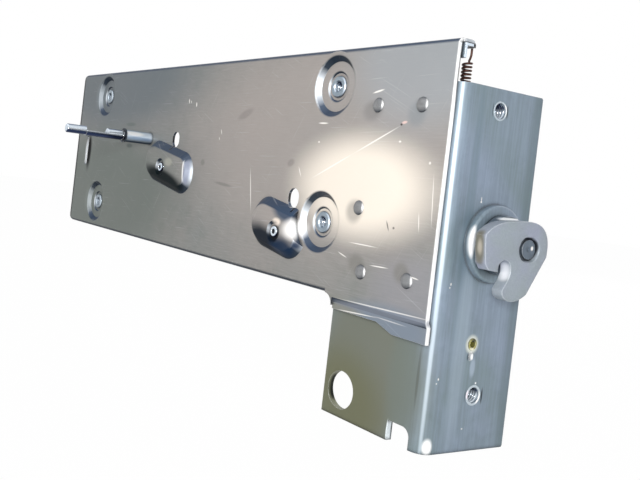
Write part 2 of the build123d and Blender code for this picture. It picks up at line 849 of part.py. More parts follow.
with BuildPart() as pawl_pin:
    bar((pawl_y, pawl_z), bridge_back - pawl_pin_proud, pawl_pin_proud, pawl_pin_radius)
    bar(
        (pawl_y, pawl_z), pawl_pin_proud - pawl_pin_bore_depth, pawl_pin_proud, pawl_pin_bore,
        mode=Mode.SUBTRACT,
    )
save(pawl_pin, "pawl_pin")

# Lever pins riveted in the pockets, and their clips
lever_places = (lever_pin_left, lever_pin_right)
groove_front = lever_back + clip_gap
groove_back = groove_front + lever_clip
with BuildPart() as lever_pins:
    pad_back = sheet - pocket_rise + seat_pad
    for place in lever_places:
        post(place, rivet_edge / 2 - pocket_rise, pad_back, lever_pin_rivet)
        post(place, pad_back, lever_front - clip_gap, lever_pin_shoulder)
        post(place, lever_front - clip_gap, lever_pin_end, lever_pin_radius)
        post(place, groove_front, groove_back, 2 * lever_pin_radius, mode=Mode.SUBTRACT)
        post(place, groove_front, groove_back, lever_pin_radius - rivet_edge)
    tips = lever_pins.edges().filter_by(GeomType.CIRCLE).group_by(Axis.Y)[0]
    fillet(tips, radius=rivet_edge)
    for place in lever_places:
        post(
            place, -pocket_rise, lever_pin_bore_depth - pocket_rise, lever_pin_bore,
            mode=Mode.SUBTRACT,
        )
save(lever_pins, "lever_pins")

with BuildPart() as lever_clips:
    for place in lever_places:
        clip_ring(
            facing(groove_back), place, lever_pin_radius - rivet_edge,
            lever_pin_radius + 4 * rivet_edge, lever_clip, -90,
        )
save(lever_clips, "lever_clips")

# Pull lever: its long arm ends behind the slit, its tail takes the return spring
with BuildPart() as pull_lever:
    with BuildSketch(facing(lever_back)):
        with Locations(lever_pin_left):
            Circle(lever_hub_radius)
        limb([lever_pin_left, pull_elbow, (pull_stud_x, stud_height)], arm_width)
        limb([lever_pin_left, rod_elbow_near, rod_elbow_far, rod_hole], rod_arm_width)
        limb([lever_pin_left, (tail_hole_x, return_z)], arm_width)
        with Locations(lever_pin_left):
            Circle(lever_pin_radius + running_gap, mode=Mode.SUBTRACT)
        with Locations((pull_stud_x, stud_height)):
            Circle(stud_radius, mode=Mode.SUBTRACT)
        with Locations((tail_hole_x, return_z)):
            Circle(return_wire, mode=Mode.SUBTRACT)
        with Locations(rod_hole):
            Circle(rod_hole_radius, mode=Mode.SUBTRACT)
    extrude(amount=lever_thickness)
save(pull_lever, "pull_lever")

# Release lever: a bowed arm up to the bar and a long arm to the pawl's tail
tail_under = pawl_z - pawl_tail_width / 2
nose = (nose_x, tail_under - nose_gap - nose_pin_radius)
with BuildPart() as release_lever:
    with BuildSketch(facing(lever_back)):
        with Locations(lever_pin_right):
            Circle(lever_hub_radius)
        limb(
            [lever_pin_right, release_bow_low, release_bow_high, (release_stud_x, stud_height)],
            arm_width,
        )
        limb([lever_pin_right, nose_elbow_near, nose_elbow_far, nose], 2 * nose_radius)
        with Locations(lever_pin_right):
            Circle(lever_pin_radius + running_gap, mode=Mode.SUBTRACT)
        with Locations((release_stud_x, stud_height)):
            Circle(stud_radius, mode=Mode.SUBTRACT)
        with Locations(nose):
            Circle(nose_pin_radius, mode=Mode.SUBTRACT)
    extrude(amount=lever_thickness)
save(release_lever, "release_lever")

with BuildPart() as nose_pin:
    post(nose, lever_front, nose_pin_end, nose_pin_radius)
save(nose_pin, "nose_pin")

# Studs that tie the levers to the bar
for name, stud_x in (("pull_stud", pull_stud_x), ("release_stud", release_stud_x)):
    with BuildPart() as stud:
        place = (stud_x, stud_height)
        post(place, sheet + clip_gap, lever_back + stud_rivet, stud_radius)
        post(place, lever_back, lever_back + stud_rivet, stud_radius + stud_rivet)
    save(stud, name)

# Pull bar: an angle section with an ear for each stud, notched past the upper dish
stud_places = (
    (pull_stud_x, stud_height, ear_drop),
    (release_stud_x, stud_height, ear_drop),
    (spindle_x, spindle_z + crank_radius, crank_ear_drop),
)
with BuildPart() as pull_bar:
    block(bar_left, bar_right, bar_front, bar_back, bar_leg_bottom, bar_top)
    block(bar_left, bar_right, bar_front, bar_shelf_back, bar_top - bar_thickness, bar_top)
    with BuildSketch(facing(bar_back)):
        for stud_x, stud_z, drop in stud_places:
            with Locations((stud_x, stud_z - drop)):
                Rectangle(
                    ear_width,
                    bar_leg_bottom - stud_z + drop + bar_thickness,
                    align=(Align.CENTER, Align.MIN),
                )
    extrude(amount=bar_thickness)
    slot_width = 2 * (stud_radius + ear_gap)
    with BuildSketch(facing(bar_back)):
        for stud_x, stud_z, drop in stud_places:
            with Locations((stud_x, stud_z)):
                SlotOverall(slot_width + slot_reach, slot_width, rotation=90)
    extrude(amount=bar_thickness, mode=Mode.SUBTRACT)
    block(
        bar_notch_left, bar_notch_right, sheet, bar_back,
        bar_leg_bottom - 1, bar_top - bar_thickness, mode=Mode.SUBTRACT,
    )
    block(
        bar_notch_left, bar_notch_right, sheet, bar_front + bar_notch_depth,
        bar_leg_bottom, bar_top + 1, mode=Mode.SUBTRACT,
    )
save(pull_bar, "pull_bar")

# Guide clips that carry the pull bar
with BuildPart() as guide_clips:
    for place in clip_places:
        x0 = place - clip_width / 2
        x1 = place + clip_width / 2
        shelf = bar_leg_bottom - clip_gap
        clip_back = bar_back + clip_gap + clip_sheet
        block(x0, x1, sheet, sheet + clip_sheet, clip_foot, shelf)
        block(x0, x1, sheet, clip_back, shelf - clip_sheet, shelf)
        block(x0, x1, clip_back - clip_sheet, clip_back, shelf - clip_sheet, bar_top - 3)
save(guide_clips, "guide_clips")

# Spindle with its half-round key length, its bush, clip and crank
spindle_place = (spindle_x, spindle_z)
with BuildPart() as spindle:
    clip_y = -spindle_bush_length - clip_gap - spindle_clip
    post(spindle_place, -flat_near, crank_front, spindle_radius)
    post(spindle_place, -spindle_tip, -flat_near, spindle_tip_radius)
    block(
        spindle_x - spindle_square / 2, spindle_x + spindle_square / 2,
        crank_front, crank_back,
        spindle_z - spindle_square / 2, spindle_z + spindle_square / 2,
    )
    post(spindle_place, crank_back, crank_back + spindle_peen, spindle_radius)
    tip = spindle.edges().filter_by(GeomType.CIRCLE).group_by(Axis.Y)[0]
    fillet(tip, radius=1.0)
    block(
        spindle_x - spindle_radius, spindle_x + spindle_radius,
        -flat_near, -flat_far, spindle_z, spindle_z + spindle_radius, mode=Mode.SUBTRACT,
    )
    post(spindle_place, clip_y, clip_y + spindle_clip, spindle_radius + 1, mode=Mode.SUBTRACT)
    post(spindle_place, clip_y - 1.6, clip_y - 0.8, spindle_radius + 1, mode=Mode.SUBTRACT)
    post(spindle_place, clip_y - 1.6, clip_y + spindle_clip, spindle_groove_radius)
save(spindle, "spindle")

with BuildPart() as spindle_bush:
    post(spindle_place, -spindle_bush_length, sheet, spindle_bush_radius)
    post(spindle_place, sheet, sheet + spindle_flange, spindle_flange_radius)
    post(
        spindle_place, -spindle_bush_length, sheet + spindle_flange,
        spindle_radius + running_gap, mode=Mode.SUBTRACT,
    )
save(spindle_bush, "spindle_bush")

with BuildPart() as spindle_clip_ring:
    clip_ring(
        facing(clip_y + spindle_clip), spindle_place, spindle_groove_radius,
        spindle_clip_radius, spindle_clip, -90,
    )
save(spindle_clip_ring, "spindle_clip")

crank_stud_place = (spindle_x, spindle_z + crank_radius)
with BuildPart() as spindle_crank:
    with BuildSketch(facing(crank_back)):
        with Locations(spindle_place):
            Circle(crank_hub_radius)
        limb([spindle_place, crank_stud_place], 4 * stud_radius)
        with Locations(spindle_place):
            Rectangle(spindle_square, spindle_square, mode=Mode.SUBTRACT)
        with Locations(crank_stud_place):
            Circle(stud_radius, mode=Mode.SUBTRACT)
    extrude(amount=crank_thickness)
save(spindle_crank, "spindle_crank")

with BuildPart() as crank_stud:
    post(crank_stud_place, sheet + clip_gap, crank_back + stud_rivet, stud_radius)
    post(crank_stud_place, crank_back, crank_back + stud_rivet, stud_radius + stud_rivet)
save(crank_stud, "crank_stud")

# Anchor tab for the return spring
with BuildPart() as spring_anchor:
    z0 = return_z - anchor_height / 2
    z1 = return_z + anchor_height / 2
    block(anchor_x - anchor_thickness, anchor_x, sheet, return_y + 2.4, z0, z1)
    block(anchor_x - anchor_height, anchor_x, sheet, sheet + anchor_thickness, z0, z1)
    bar((return_y, return_z), anchor_x - anchor_thickness, anchor_x, return_wire, mode=Mode.SUBTRACT)
save(spring_anchor, "spring_anchor")

# Rotor spring: hooked over the top flange, coiled, and hooked in the wheel's lug
up = Vector(0, 0, 1)
ahead = Vector(1, 0, 0)
away = Vector(0, 1, 0)
with BuildPart() as rotor_spring:
    with BuildLine() as rotor_path:
        axis_foot = Vector(rotor_spring_x, rotor_spring_y, rotor_coil_bottom)
        leg_x = wheel_front - spring_wire
        lug_z = -lug_drop
        eye_end = Vector(arm_front - 0.3, rotor_spring_y, lug_z)
        eye_turn = Vector(leg_x + hook_bend, rotor_spring_y, lug_z)
        leg_low = Vector(leg_x, rotor_spring_y, lug_z + hook_bend)
        leg_high = Vector(leg_x, rotor_spring_y, rotor_coil_bottom - 4)
        Line(eye_end, eye_turn)
        TangentArc(eye_turn, leg_low, tangent=-ahead)
        Line(leg_low, leg_high)
        side = -ahead
        other = up.cross(side)
        first = axis_foot + side * spring_radius
        rise = spring_pitch / (2 * math.pi * spring_radius)
        first_way = (other + up * rise).normalized()
        biarc(leg_high, up, first, first_way)
        ends = coil(axis_foot, up, side, spring_radius, spring_pitch, rotor_coil_turns + 0.75)
        over = plate_top + spring_wire / 2 + 0.1
        last = ends[2]
        leg_top = Vector(rotor_spring_x, last.Y, last.Z + 4)
        biarc(last, ends[3], leg_top, up)
        hook_start = Vector(rotor_spring_x, last.Y, over - hook_bend)
        hook_over = Vector(rotor_spring_x, last.Y - hook_bend, over)
        hook_end = Vector(rotor_spring_x, hook_hole_y + hook_bend, over)
        hook_down = Vector(rotor_spring_x, hook_hole_y, over - hook_bend)
        Line(leg_top, hook_start)
        TangentArc(hook_start, hook_over, tangent=up)
        Line(hook_over, hook_end)
        TangentArc(hook_end, hook_down, tangent=-away)
    wire_along(rotor_path, spring_wire)
save(rotor_spring, "rotor_spring")
least_gap("rotor_spring", spring_radius, spring_pitch, 4, spring_wire)

# Return spring of the levers
with BuildPart() as return_spring:
    with BuildLine() as return_path:
        coil_foot = Vector(return_coil_left, return_y, return_z)
        hook_x = anchor_x - anchor_thickness - return_wire
        leg_end = Vector(hook_x, return_y, return_z - hook_bend - 1.5)
        leg_turn = Vector(hook_x, return_y, return_z - hook_bend)
        leg_start = Vector(hook_x + hook_bend, return_y, return_z)
        leg_stop = coil_foot - ahead * 3
        Line(leg_end, leg_turn)
        TangentArc(leg_turn, leg_start, tangent=up)
        Line(leg_start, leg_stop)
        rise = return_pitch / (2 * math.pi * return_radius)
        first = coil_foot + away * return_radius
        first_way = (ahead.cross(away) + ahead * rise).normalized()
        biarc(leg_stop, ahead, first, first_way)
        ends = coil(coil_foot, ahead, away, return_radius, return_pitch, return_turns + 0.25)
        tail_y = lever_front - return_wire
        tail_start = Vector(ends[2].X + 4, tail_y, return_z)
        tail_turn = Vector(tail_hole_x - hook_bend, tail_y, return_z)
        tail_hole = Vector(tail_hole_x, tail_y + hook_bend, return_z)
        tail_end = Vector(tail_hole_x, lever_back - 0.3, return_z)
        biarc(ends[2], ends[3], tail_start, ahead)
        Line(tail_start, tail_turn)
        TangentArc(tail_turn, tail_hole, tangent=ahead)
        Line(tail_hole, tail_end)
    wire_along(return_path, return_wire)
save(return_spring, "return_spring")
least_gap("return_spring", return_radius, return_pitch, 4, return_wire)

# Torsion spring of the pawl
with BuildPart() as pawl_spring:
    with BuildLine() as pawl_path:
        back_way = -ahead
        foot = Vector(pawl_coil_front, pawl_y, pawl_z)
        rise = pawl_coil_pitch / (2 * math.pi * pawl_coil_radius)
        first = foot + away * pawl_coil_radius
        first_way = (back_way.cross(away) + back_way * rise).normalized()
        Line(first - first_way * pawl_leg, first)
        ends = coil(foot, back_way, away, pawl_coil_radius, pawl_coil_pitch, pawl_coil_turns)
        Line(ends[2], ends[2] + ends[3] * pawl_leg)
    wire_along(pawl_path, pawl_wire)
save(pawl_spring, "pawl_spring")
least_gap("pawl_spring", pawl_coil_radius, pawl_coil_pitch, pawl_coil_turns, pawl_wire)
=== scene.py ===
# %% [markdown]
# # A truck door lock, dressed in Blender
# This lock sits in a truck's door: a long pressed plate carries the levers, and a thick bracket
# at its end carries the claw. Its solids could be modelled here, but they come from the packed
# model, at their real size in metres, because its holes and joints were measured there. This
# lesson gives each solid its metal, adds the small forms that a solid model leaves out, and sets
# up the studio.

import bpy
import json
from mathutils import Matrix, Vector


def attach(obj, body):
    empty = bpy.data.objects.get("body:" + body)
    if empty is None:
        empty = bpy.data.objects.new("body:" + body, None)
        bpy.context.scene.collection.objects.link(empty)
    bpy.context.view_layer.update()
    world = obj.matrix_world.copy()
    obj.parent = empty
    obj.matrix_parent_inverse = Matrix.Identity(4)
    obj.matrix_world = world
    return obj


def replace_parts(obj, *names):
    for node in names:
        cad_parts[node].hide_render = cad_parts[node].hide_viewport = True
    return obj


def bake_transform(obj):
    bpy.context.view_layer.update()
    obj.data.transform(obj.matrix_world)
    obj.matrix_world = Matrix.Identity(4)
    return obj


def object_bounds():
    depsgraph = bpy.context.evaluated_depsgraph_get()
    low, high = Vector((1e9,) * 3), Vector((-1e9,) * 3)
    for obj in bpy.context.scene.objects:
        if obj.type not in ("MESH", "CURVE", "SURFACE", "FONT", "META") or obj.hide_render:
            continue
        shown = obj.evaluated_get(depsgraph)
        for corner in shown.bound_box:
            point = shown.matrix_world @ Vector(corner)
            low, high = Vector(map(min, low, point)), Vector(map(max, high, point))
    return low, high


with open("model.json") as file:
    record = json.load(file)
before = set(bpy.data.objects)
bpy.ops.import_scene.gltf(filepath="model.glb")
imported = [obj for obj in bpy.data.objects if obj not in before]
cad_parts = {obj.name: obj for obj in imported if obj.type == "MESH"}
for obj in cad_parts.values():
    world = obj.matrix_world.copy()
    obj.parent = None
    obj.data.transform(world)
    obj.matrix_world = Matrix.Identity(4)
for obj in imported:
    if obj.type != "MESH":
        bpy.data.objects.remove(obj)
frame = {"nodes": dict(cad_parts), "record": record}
cad_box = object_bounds()

# %% [markdown]
# ## Colours and nodes
# Every finish below is a chain of shader nodes. A colour could be typed as the linear values
# that a shader wants, but a hex value is what a paint card gives, so one function turns one into
# the other. A second function adds a node with its settings, its fixed values and its links, so
# that each node takes one call and the chain reads from top to bottom.

# %% Colours and nodes
import json
import math

import bmesh
import bpy
from mathutils import Matrix, Vector


def linear(hex_colour):
    """sRGB hex to linear RGBA."""
    values = [int(hex_colour[i : i + 2], 16) / 255 for i in (1, 3, 5)]
    return [v / 12.92 if v <= 0.04045 else ((v + 0.055) / 1.055) ** 2.4 for v in values] + [1.0]


def add(tree, kind, links=None, values=None, **settings):
    """Add a node: settings are its attributes, values its fixed inputs, links what feeds it."""
    node = tree.nodes.new(kind)
    for key, value in settings.items():
        setattr(node, key, value)
    for key, value in (values or {}).items():
        node.inputs[key].default_value = value
    for key, socket in (links or {}).items():
        tree.links.new(socket, node.inputs[key])
    return node


print("middle grey in linear values", [round(v, 3) for v in linear("#808080")])

# %% [markdown]
# ## Places on the lock
# Marks, rivets and lamps all need a place. It could be typed in the model's own metres, but a
# place in mm on the lock is easier to check with a ruler: x out of the face plate's outer face,
# y in from the main plate's outer face, and z up from the claw's axis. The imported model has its
# origin 30 mm behind the plate and 30 mm above that axis, so the shift is made once, here.

# %% Places on the lock
MM = 0.001
ORIGIN_Y = 30.0
ORIGIN_Z = 30.0


def place(x, y, z):
    """A point in mm on the lock, in row metres."""
    return Vector((x, y - ORIGIN_Y, z - ORIGIN_Z)) * MM


print("claw axis at", place(0, 30, 0)[:])

# %% [markdown]
# ## Soft ovals
# On the real lock each stain, knock and scratch has its own place, and so has each patch of shade
# and each highlight painted on below. They could be painted on an image, but that needs an
# unwrapped surface and blurs when the camera comes near. A soft oval is four nodes, stays sharp,
# and can be round for a stain or thin for a scratch. It is full up to 0.4 of its radius and fades
# to nothing at its rim.

# %% Soft ovals
OVAL_FULL = 0.4


def ovals(tree, spot, colour, spots):
    """Lay soft ovals over a colour: (centre mm, radii mm, turn, hue, strength) for each."""
    for centre, radii, turn, hue, most in spots:
        oval = add(
            tree, "ShaderNodeMapping", {"Vector": spot},
            {
                "Location": place(*centre),
                "Rotation": (0, -math.radians(turn), 0),
                "Scale": [r * MM for r in radii],
            },
            vector_type="TEXTURE",
        )
        fade = add(
            tree, "ShaderNodeTexGradient", {0: oval.outputs[0]}, gradient_type="SPHERICAL"
        )
        share = add(
            tree, "ShaderNodeMapRange", {"Value": fade.outputs["Fac"]},
            {"From Max": 1 - OVAL_FULL, "To Max": most}, interpolation_type="SMOOTHSTEP",
        )
        colour = add(
            tree, "ShaderNodeMix", {0: share.outputs[0], 6: colour},
            {7: linear(hue)}, data_type="RGBA",
        ).outputs[2]
    return colour


print("an oval 10 mm wide is full over", 10 * OVAL_FULL, "mm")

# %% [markdown]
# ## Clouds
# The passivation film, dull stains and fine scratches lie all over the metal, with no place of
# their own. They could be hundreds of ovals, but a noise gives them at once. It has a real size,
# and it is cut so that only its peaks show. For scratches it is stretched forty times, along the
# way that the piece was dragged. Real scratches are finer than a pixel of this picture, so these
# are drawn as coarse as they need to show.


# %% Clouds
def clouds(tree, where, colour, hue, size_mm, detail, rough, begin, full, most):
    """Lay a hue over a colour where a noise of a size rises from begin to full."""
    noise = add(
        tree, "ShaderNodeTexNoise", {"Vector": where},
        {"Scale": 1 / (size_mm * MM), "Detail": detail, "Roughness": rough},
    )
    share = add(
        tree, "ShaderNodeMapRange", {"Value": noise.outputs["Fac"]},
        {"From Min": begin, "From Max": full, "To Max": most},
    )
    return add(
        tree, "ShaderNodeMix", {0: share.outputs[0], 6: colour},
        {7: linear(hue)}, data_type="RGBA",
    ).outputs[2]


SCRATCH_MM = 0.7
DRAG = 40


def scratches(tree, spot, colour, hue, scuffs):
    """Short fine scratches, one layer for each way that the piece was dragged: (turn, most)."""
    for turn, most in scuffs:
        drag = add(
            tree, "ShaderNodeMapping", {"Vector": spot},
            {"Rotation": (0, math.radians(turn), 0), "Scale": (DRAG, DRAG, 1)},
            vector_type="TEXTURE",
        )
        colour = clouds(
            tree, drag.outputs[0], colour, hue, size_mm=SCRATCH_MM, detail=2.0, rough=0.5,
            begin=0.66, full=0.74, most=most,
        )
    return colour


print("scratches", SCRATCH_MM, "mm wide need a noise scale of", round(1 / (SCRATCH_MM * MM)))

# %% [markdown]
# ## Painted light on leaning walls
# The drawn walls of dishes and pockets mirror the room: dark above and below, and bright towards
# the lamp. Dark cards round the lock would do it, but they would darken everything else too. So
# the reflections are painted: a tint that follows the surface's normal paints shade on walls that
# lean up and down and a highlight on walls that lean towards the lamp, and keeps the studio
# plain. Each tint begins, is full and stops at a part of the normal.


# %% Painted light on leaning walls
def paint_light_by_lean(tree, normal, colour, light_by_lean):
    """Paint shade and highlights on walls by a normal's part: (axis, begin, full, stop, hue,
    strength) for each.
    """
    normal_parts = add(tree, "ShaderNodeSeparateXYZ", {0: normal})
    for axis, begin, full, stop, hue, most in light_by_lean:
        rise = add(
            tree, "ShaderNodeMapRange", {"Value": normal_parts.outputs[axis]},
            {"From Min": begin, "From Max": full, "To Max": most},
        )
        fall = add(
            tree, "ShaderNodeMapRange", {"Value": normal_parts.outputs[axis]},
            {"From Min": stop, "From Max": 1.04 * stop, "To Min": 1, "To Max": 0},
        )
        share = add(
            tree, "ShaderNodeMath", {0: rise.outputs[0], 1: fall.outputs[0]},
            operation="MULTIPLY",
        )
        colour = add(
            tree, "ShaderNodeMix", {0: share.outputs[0], 6: colour},
            {7: linear(hue)}, data_type="RGBA",
        ).outputs[2]
    return colour


print("a wall that leans 30 degrees has a normal part of", round(math.sin(math.radians(30)), 2))

# %% [markdown]
# ## Edges and corners
# Zinc wears off along an edge and leaves bright bare metal. Corners and holes get painted shade,
# a dark colour laid where little light gets in. Both could be painted on the vertices, but flat
# metal has too few of them. The shape itself tells: an edge is where a rounded normal leaves the
# true one, and a corner is where little light gets in.

# %% Edges and corners
# Colour of the painted shade in corners and holes
CORNER_SHADE_HUE = "#14171B"


def worn_edges(tree, colour, edge, edge_mm, most):
    """Bare metal on rubbed edges; gives the colour and the rounded normal."""
    rounded = add(tree, "ShaderNodeBevel", values={"Radius": edge_mm * MM}, samples=6)
    true_face = add(tree, "ShaderNodeNewGeometry")
    flatness = add(
        tree, "ShaderNodeVectorMath",
        {0: rounded.outputs[0], 1: true_face.outputs["Normal"]}, operation="DOT_PRODUCT",
    )
    share = add(
        tree, "ShaderNodeMapRange", {"Value": flatness.outputs["Value"]},
        {"From Min": 0.97, "From Max": 0.80, "To Max": most},
    )
    colour = add(
        tree, "ShaderNodeMix", {0: share.outputs[0], 6: colour},
        {7: linear(edge)}, data_type="RGBA",
    ).outputs[2]
    return colour, rounded.outputs[0]


def shade_in_corners(tree, colour, most):
    """Painted shade in corners and holes, up to 2 mm from the next wall."""
    cavity = add(
        tree, "ShaderNodeAmbientOcclusion", values={"Distance": 2.0 * MM}, samples=6
    )
    share = add(
        tree, "ShaderNodeMapRange", {"Value": cavity.outputs["AO"]},
        {"From Min": 0.88, "From Max": 0.42, "To Max": most},
    )
    return add(
        tree, "ShaderNodeMix", {0: share.outputs[0], 6: colour},
        {7: linear(CORNER_SHADE_HUE)}, data_type="RGBA",
    ).outputs[2]


print("normals 20 degrees apart agree by", round(math.cos(math.radians(20)), 2))

# %% [markdown]
# ## Rolling lines
# The rolls of a steel mill and the lathe's tool leave fine lines. They are far too fine to model,
# and lines in the colour alone look printed on. One stretched noise feeds the colour here, and
# its height goes on to the roughness and the relief, so that all three agree. Real lines are
# under 0.1 mm wide, too fine for this picture, so they are drawn as coarse as they need to show.


# %% Rolling lines
def rolling_lines(tree, spot, colour, grain, grain_mm):
    """Fine lines along the way the metal ran; gives the colour and the lines' height."""
    stretch = add(tree, "ShaderNodeMapping", {"Vector": spot}, {"Scale": grain})
    lines = add(
        tree, "ShaderNodeTexNoise", {"Vector": stretch.outputs[0]},
        {"Scale": 1 / (grain_mm * MM), "Detail": 4.0, "Roughness": 0.6},
    ).outputs["Fac"]
    share = add(
        tree, "ShaderNodeMapRange", {"Value": lines},
        {"From Min": 0.40, "From Max": 0.62, "To Min": 0.90, "To Max": 1.06},
    )
    colour = add(
        tree, "ShaderNodeVectorMath", {0: colour, "Scale": share.outputs[0]},
        operation="SCALE",
    ).outputs[0]
    return colour, lines


print("lines 0.5 mm apart need a noise scale of", round(1 / (0.5 * MM)))

# %% [markdown]
# ## Sheen and relief
# Dark places on the lock are mostly painted shade, and some are dark metal. With one sheen for
# all, they would throw back the white room and turn grey. A mask for each could hold them dark,
# but the colour already knows where they are, so the sheen follows its brightness. The lines make
# the surface a little rougher in one place than in the next and lift it by up to 0.05 mm.

# %% Sheen and relief
DULL_BELOW = 0.01
FULL_FROM = 0.12


def surface(tree, shader, colour, lines, rounded, rough, bump):
    """Feed the shader: colour, a sheen that follows it, and roughness and relief by lines."""
    bright = add(tree, "ShaderNodeRGBToBW", {0: colour})
    sheen = add(
        tree, "ShaderNodeMapRange", {"Value": bright.outputs[0]},
        {"From Min": DULL_BELOW, "From Max": FULL_FROM, "To Min": 0.02, "To Max": 0.5},
    )
    rough_map = add(
        tree, "ShaderNodeMapRange", {"Value": lines},
        {"To Min": rough - 0.08, "To Max": rough + 0.10},
    )
    relief = add(
        tree, "ShaderNodeBump", {"Height": lines, "Normal": rounded},
        {"Strength": bump, "Distance": 0.05 * MM},
    )
    tree.links.new(colour, shader.inputs["Base Color"])
    tree.links.new(sheen.outputs[0], shader.inputs["Specular IOR Level"])
    tree.links.new(rough_map.outputs[0], shader.inputs["Roughness"])
    tree.links.new(relief.outputs["Normal"], shader.inputs["Normal"])


print("full sheen from a brightness of", FULL_FROM, "and hardly any below", DULL_BELOW)

# %% [markdown]
# ## Plated steel
# Zinc on pressed steel is a soft grey metal. Its passivation film gives it a faint tint that
# drifts over centimetres, rolling leaves fine lines, handling leaves scuffs, and the zinc wears
# bright along edges. Each metal could be built by hand, but they would drift apart. One recipe
# lays one layer over the other, from the film at the bottom to painted shade in the corners on
# top, with painted shade and highlights on leaning walls and in ovals between, and each metal
# gives it its own colours, grain and wear.


# %% Plated steel
def plated_steel(
    name, base, tint, stain, metal, rough, grain=(1, 1, 1), grain_mm=0.5, bump=0.05,
    drift_mm=60, stain_mm=9, stain_most=0.5, edge="#E9EBEE", edge_mm=0.3, edge_most=0.6,
    patches_and_painted_light=(), light_by_lean=(), scuffs=(), marks_and_painted_light=(), corner_shade=0.8,
):
    """Zinc plated steel: base colour, drifting tint, dull stains, rolling lines, worn edges, and
    painted shade and highlights.
    """
    material = bpy.data.materials.new(name)
    material.use_nodes = True
    tree = material.node_tree
    shader = tree.nodes["Principled BSDF"]
    spot = add(tree, "ShaderNodeTexCoord").outputs
    bare = add(tree, "ShaderNodeRGB").outputs[0]
    bare.default_value = linear(base)
    colour = clouds(
        tree, spot["Object"], bare, tint, size_mm=drift_mm, detail=3.0, rough=0.55,
        begin=0.36, full=0.64, most=1.0,
    )
    colour = clouds(
        tree, spot["Object"], colour, stain, size_mm=stain_mm, detail=6.0, rough=0.65,
        begin=0.50, full=0.78, most=stain_most,
    )
    colour, lines = rolling_lines(tree, spot["Object"], colour, grain, grain_mm)
    colour = ovals(tree, spot["Object"], colour, patches_and_painted_light)
    colour = paint_light_by_lean(tree, spot["Normal"], colour, light_by_lean)
    colour = scratches(tree, spot["Object"], colour, edge, scuffs)
    colour, rounded = worn_edges(tree, colour, edge, edge_mm, edge_most)
    colour = ovals(tree, spot["Object"], colour, marks_and_painted_light)
    colour = shade_in_corners(tree, colour, corner_shade)
    surface(tree, shader, colour, lines, rounded, rough, bump)
    shader.inputs["Metallic"].default_value = metal
    print(name, "nodes", len(tree.nodes))
    return material


# %% [markdown]
# ## The main plate's stains, glare and rivet shadows
# The big plate is the piece that the eye reads first. Its right half has the flash's glare painted
# on it, pale and warm, and its left end is duller and greener, with small dull spots between the
# rivets and painted shadows beside them. A noise would put them anywhere, so they are ovals in the
# places where the real plate has them.

# %% Stains, glare and shadows on the main plate
painted_glare = "#F4EADC"
plate_stains_and_painted_light = [
    # Painted glare of the flash: the right half pale, and a warm oval on it
    ((-95, 0, 35), (150, 30, 75), 0, "#A59C97", 0.60),
    ((-52, 0, 17), (60, 30, 31), 0, painted_glare, 0.85),
    ((-330, 0, -5), (160, 30, 60), 0, "#58625C", 0.80),
    ((-330, 0, 75), (160, 30, 50), 0, "#535F67", 0.80),
    ((-20, 0, 75), (60, 30, 42), 0, "#959A9F", 0.70),
    ((-8, 0, -25), (40, 30, 22), 0, "#8B8A90", 0.60),
    ((-25, 0, -40), (40, 8, 12), 0, "#6E7A88", 0.90),
    ((-58, 0, -40), (22, 8, 10), 0, "#7A7B74", 0.80),
    ((-150, 0, 50), (10, 1.5, 3), 20, "#77726E", 0.5),
    ((-104, 0, 25.5), (4, 1.5, 2.5), 20, "#77726E", 0.5),
    ((-190, 0, 21.5), (3, 1.5, 2.5), 0, "#6C6C68", 0.6),
    ((-165, 0, 10.3), (12, 1.5, 1.2), -4, "#6C6C68", 0.6),
    # Painted shadows of the five rivets, just left of each
    ((-48.5, 0, 51.5), (8, 1.5, 6), 0, "#7E7C7A", 0.7),
    ((-21, 0, 50), (7, 1.5, 7), 0, "#7E8488", 0.6),
    ((-53, 0, 6), (7, 1.5, 7), 0, "#8A8680", 0.6),
    ((-47.5, 0, -17), (7, 1.5, 6), 0, "#75736F", 0.7),
    ((-19.5, 0, -16.5), (6, 1.5, 6), 0, "#75736F", 0.7),
]
print("stains", len(plate_stains_and_painted_light))

# %% [markdown]
# ## The pockets' light and dark
# Each pocket mirrors a dark room on one side and a lamp on the other, and a dark ring of shade
# lies round its pin. A copy of the real room would do it, but one photo doesn't show that room,
# and the painted light on leaning walls treats all walls alike. So ovals, listed one by one, paint
# the rest: the dark ones are painted shade and the pale ones painted highlights. Most lie 4 mm in
# front of the sheet, where only a pocket stands, and have nearly faded where the flat plate
# begins.

# %% Light and dark of the pockets
pocket_shade_and_highlights = [
    ((-115, -4, -16.0), (25, 4.6, 11.5), -16, "#0D1824", 0.97),
    ((-98, -4, -19), (15, 4.6, 10), -8, "#0F2640", 0.95),
    ((-99, -4, 0.8), (14, 4.6, 6.5), -12, "#2C4059", 0.92),
    ((-89.0, -4, -6.6), (14, 4.6, 7.0), 6, "#FFFDFA", 0.98),
    ((-87.5, -3, -15.2), (5.5, 3.2, 3.0), -20, "#1B2E4A", 0.9),
    ((-107, -2, -10.6), (5.8, 9, 5.8), 0, "#0C1118", 0.95),
    ((-105, -3, -4.6), (4.6, 9, 2.6), 0, "#F4E6D8", 0.85),
    ((-229, -4, 8.4), (38, 4.6, 8.5), -12, "#0E181C", 0.97),
    ((-235.5, -2, 15.6), (5.8, 9, 5.8), 0, "#0C1118", 0.92),
    ((-225, -3, 19.6), (6.5, 9, 3.6), 0, "#B4B2A4", 0.5),
    ((-229, -4, 7.8), (36, 4.6, 7.4), -12, "#0B1518", 0.90),
    ((-203.2, -3, 15), (3.4, 3.4, 14), 0, "#868DA2", 0.85),
    ((-205.8, -4, 15), (1.1, 4.6, 8), 6, "#FFFFFF", 0.85),
    ((-89.0, -2.4, -5.8), (8, 6.2, 6.6), 0, "#FFFFFF", 1.0),
]
print("marks in the pockets", len(pocket_shade_and_highlights))
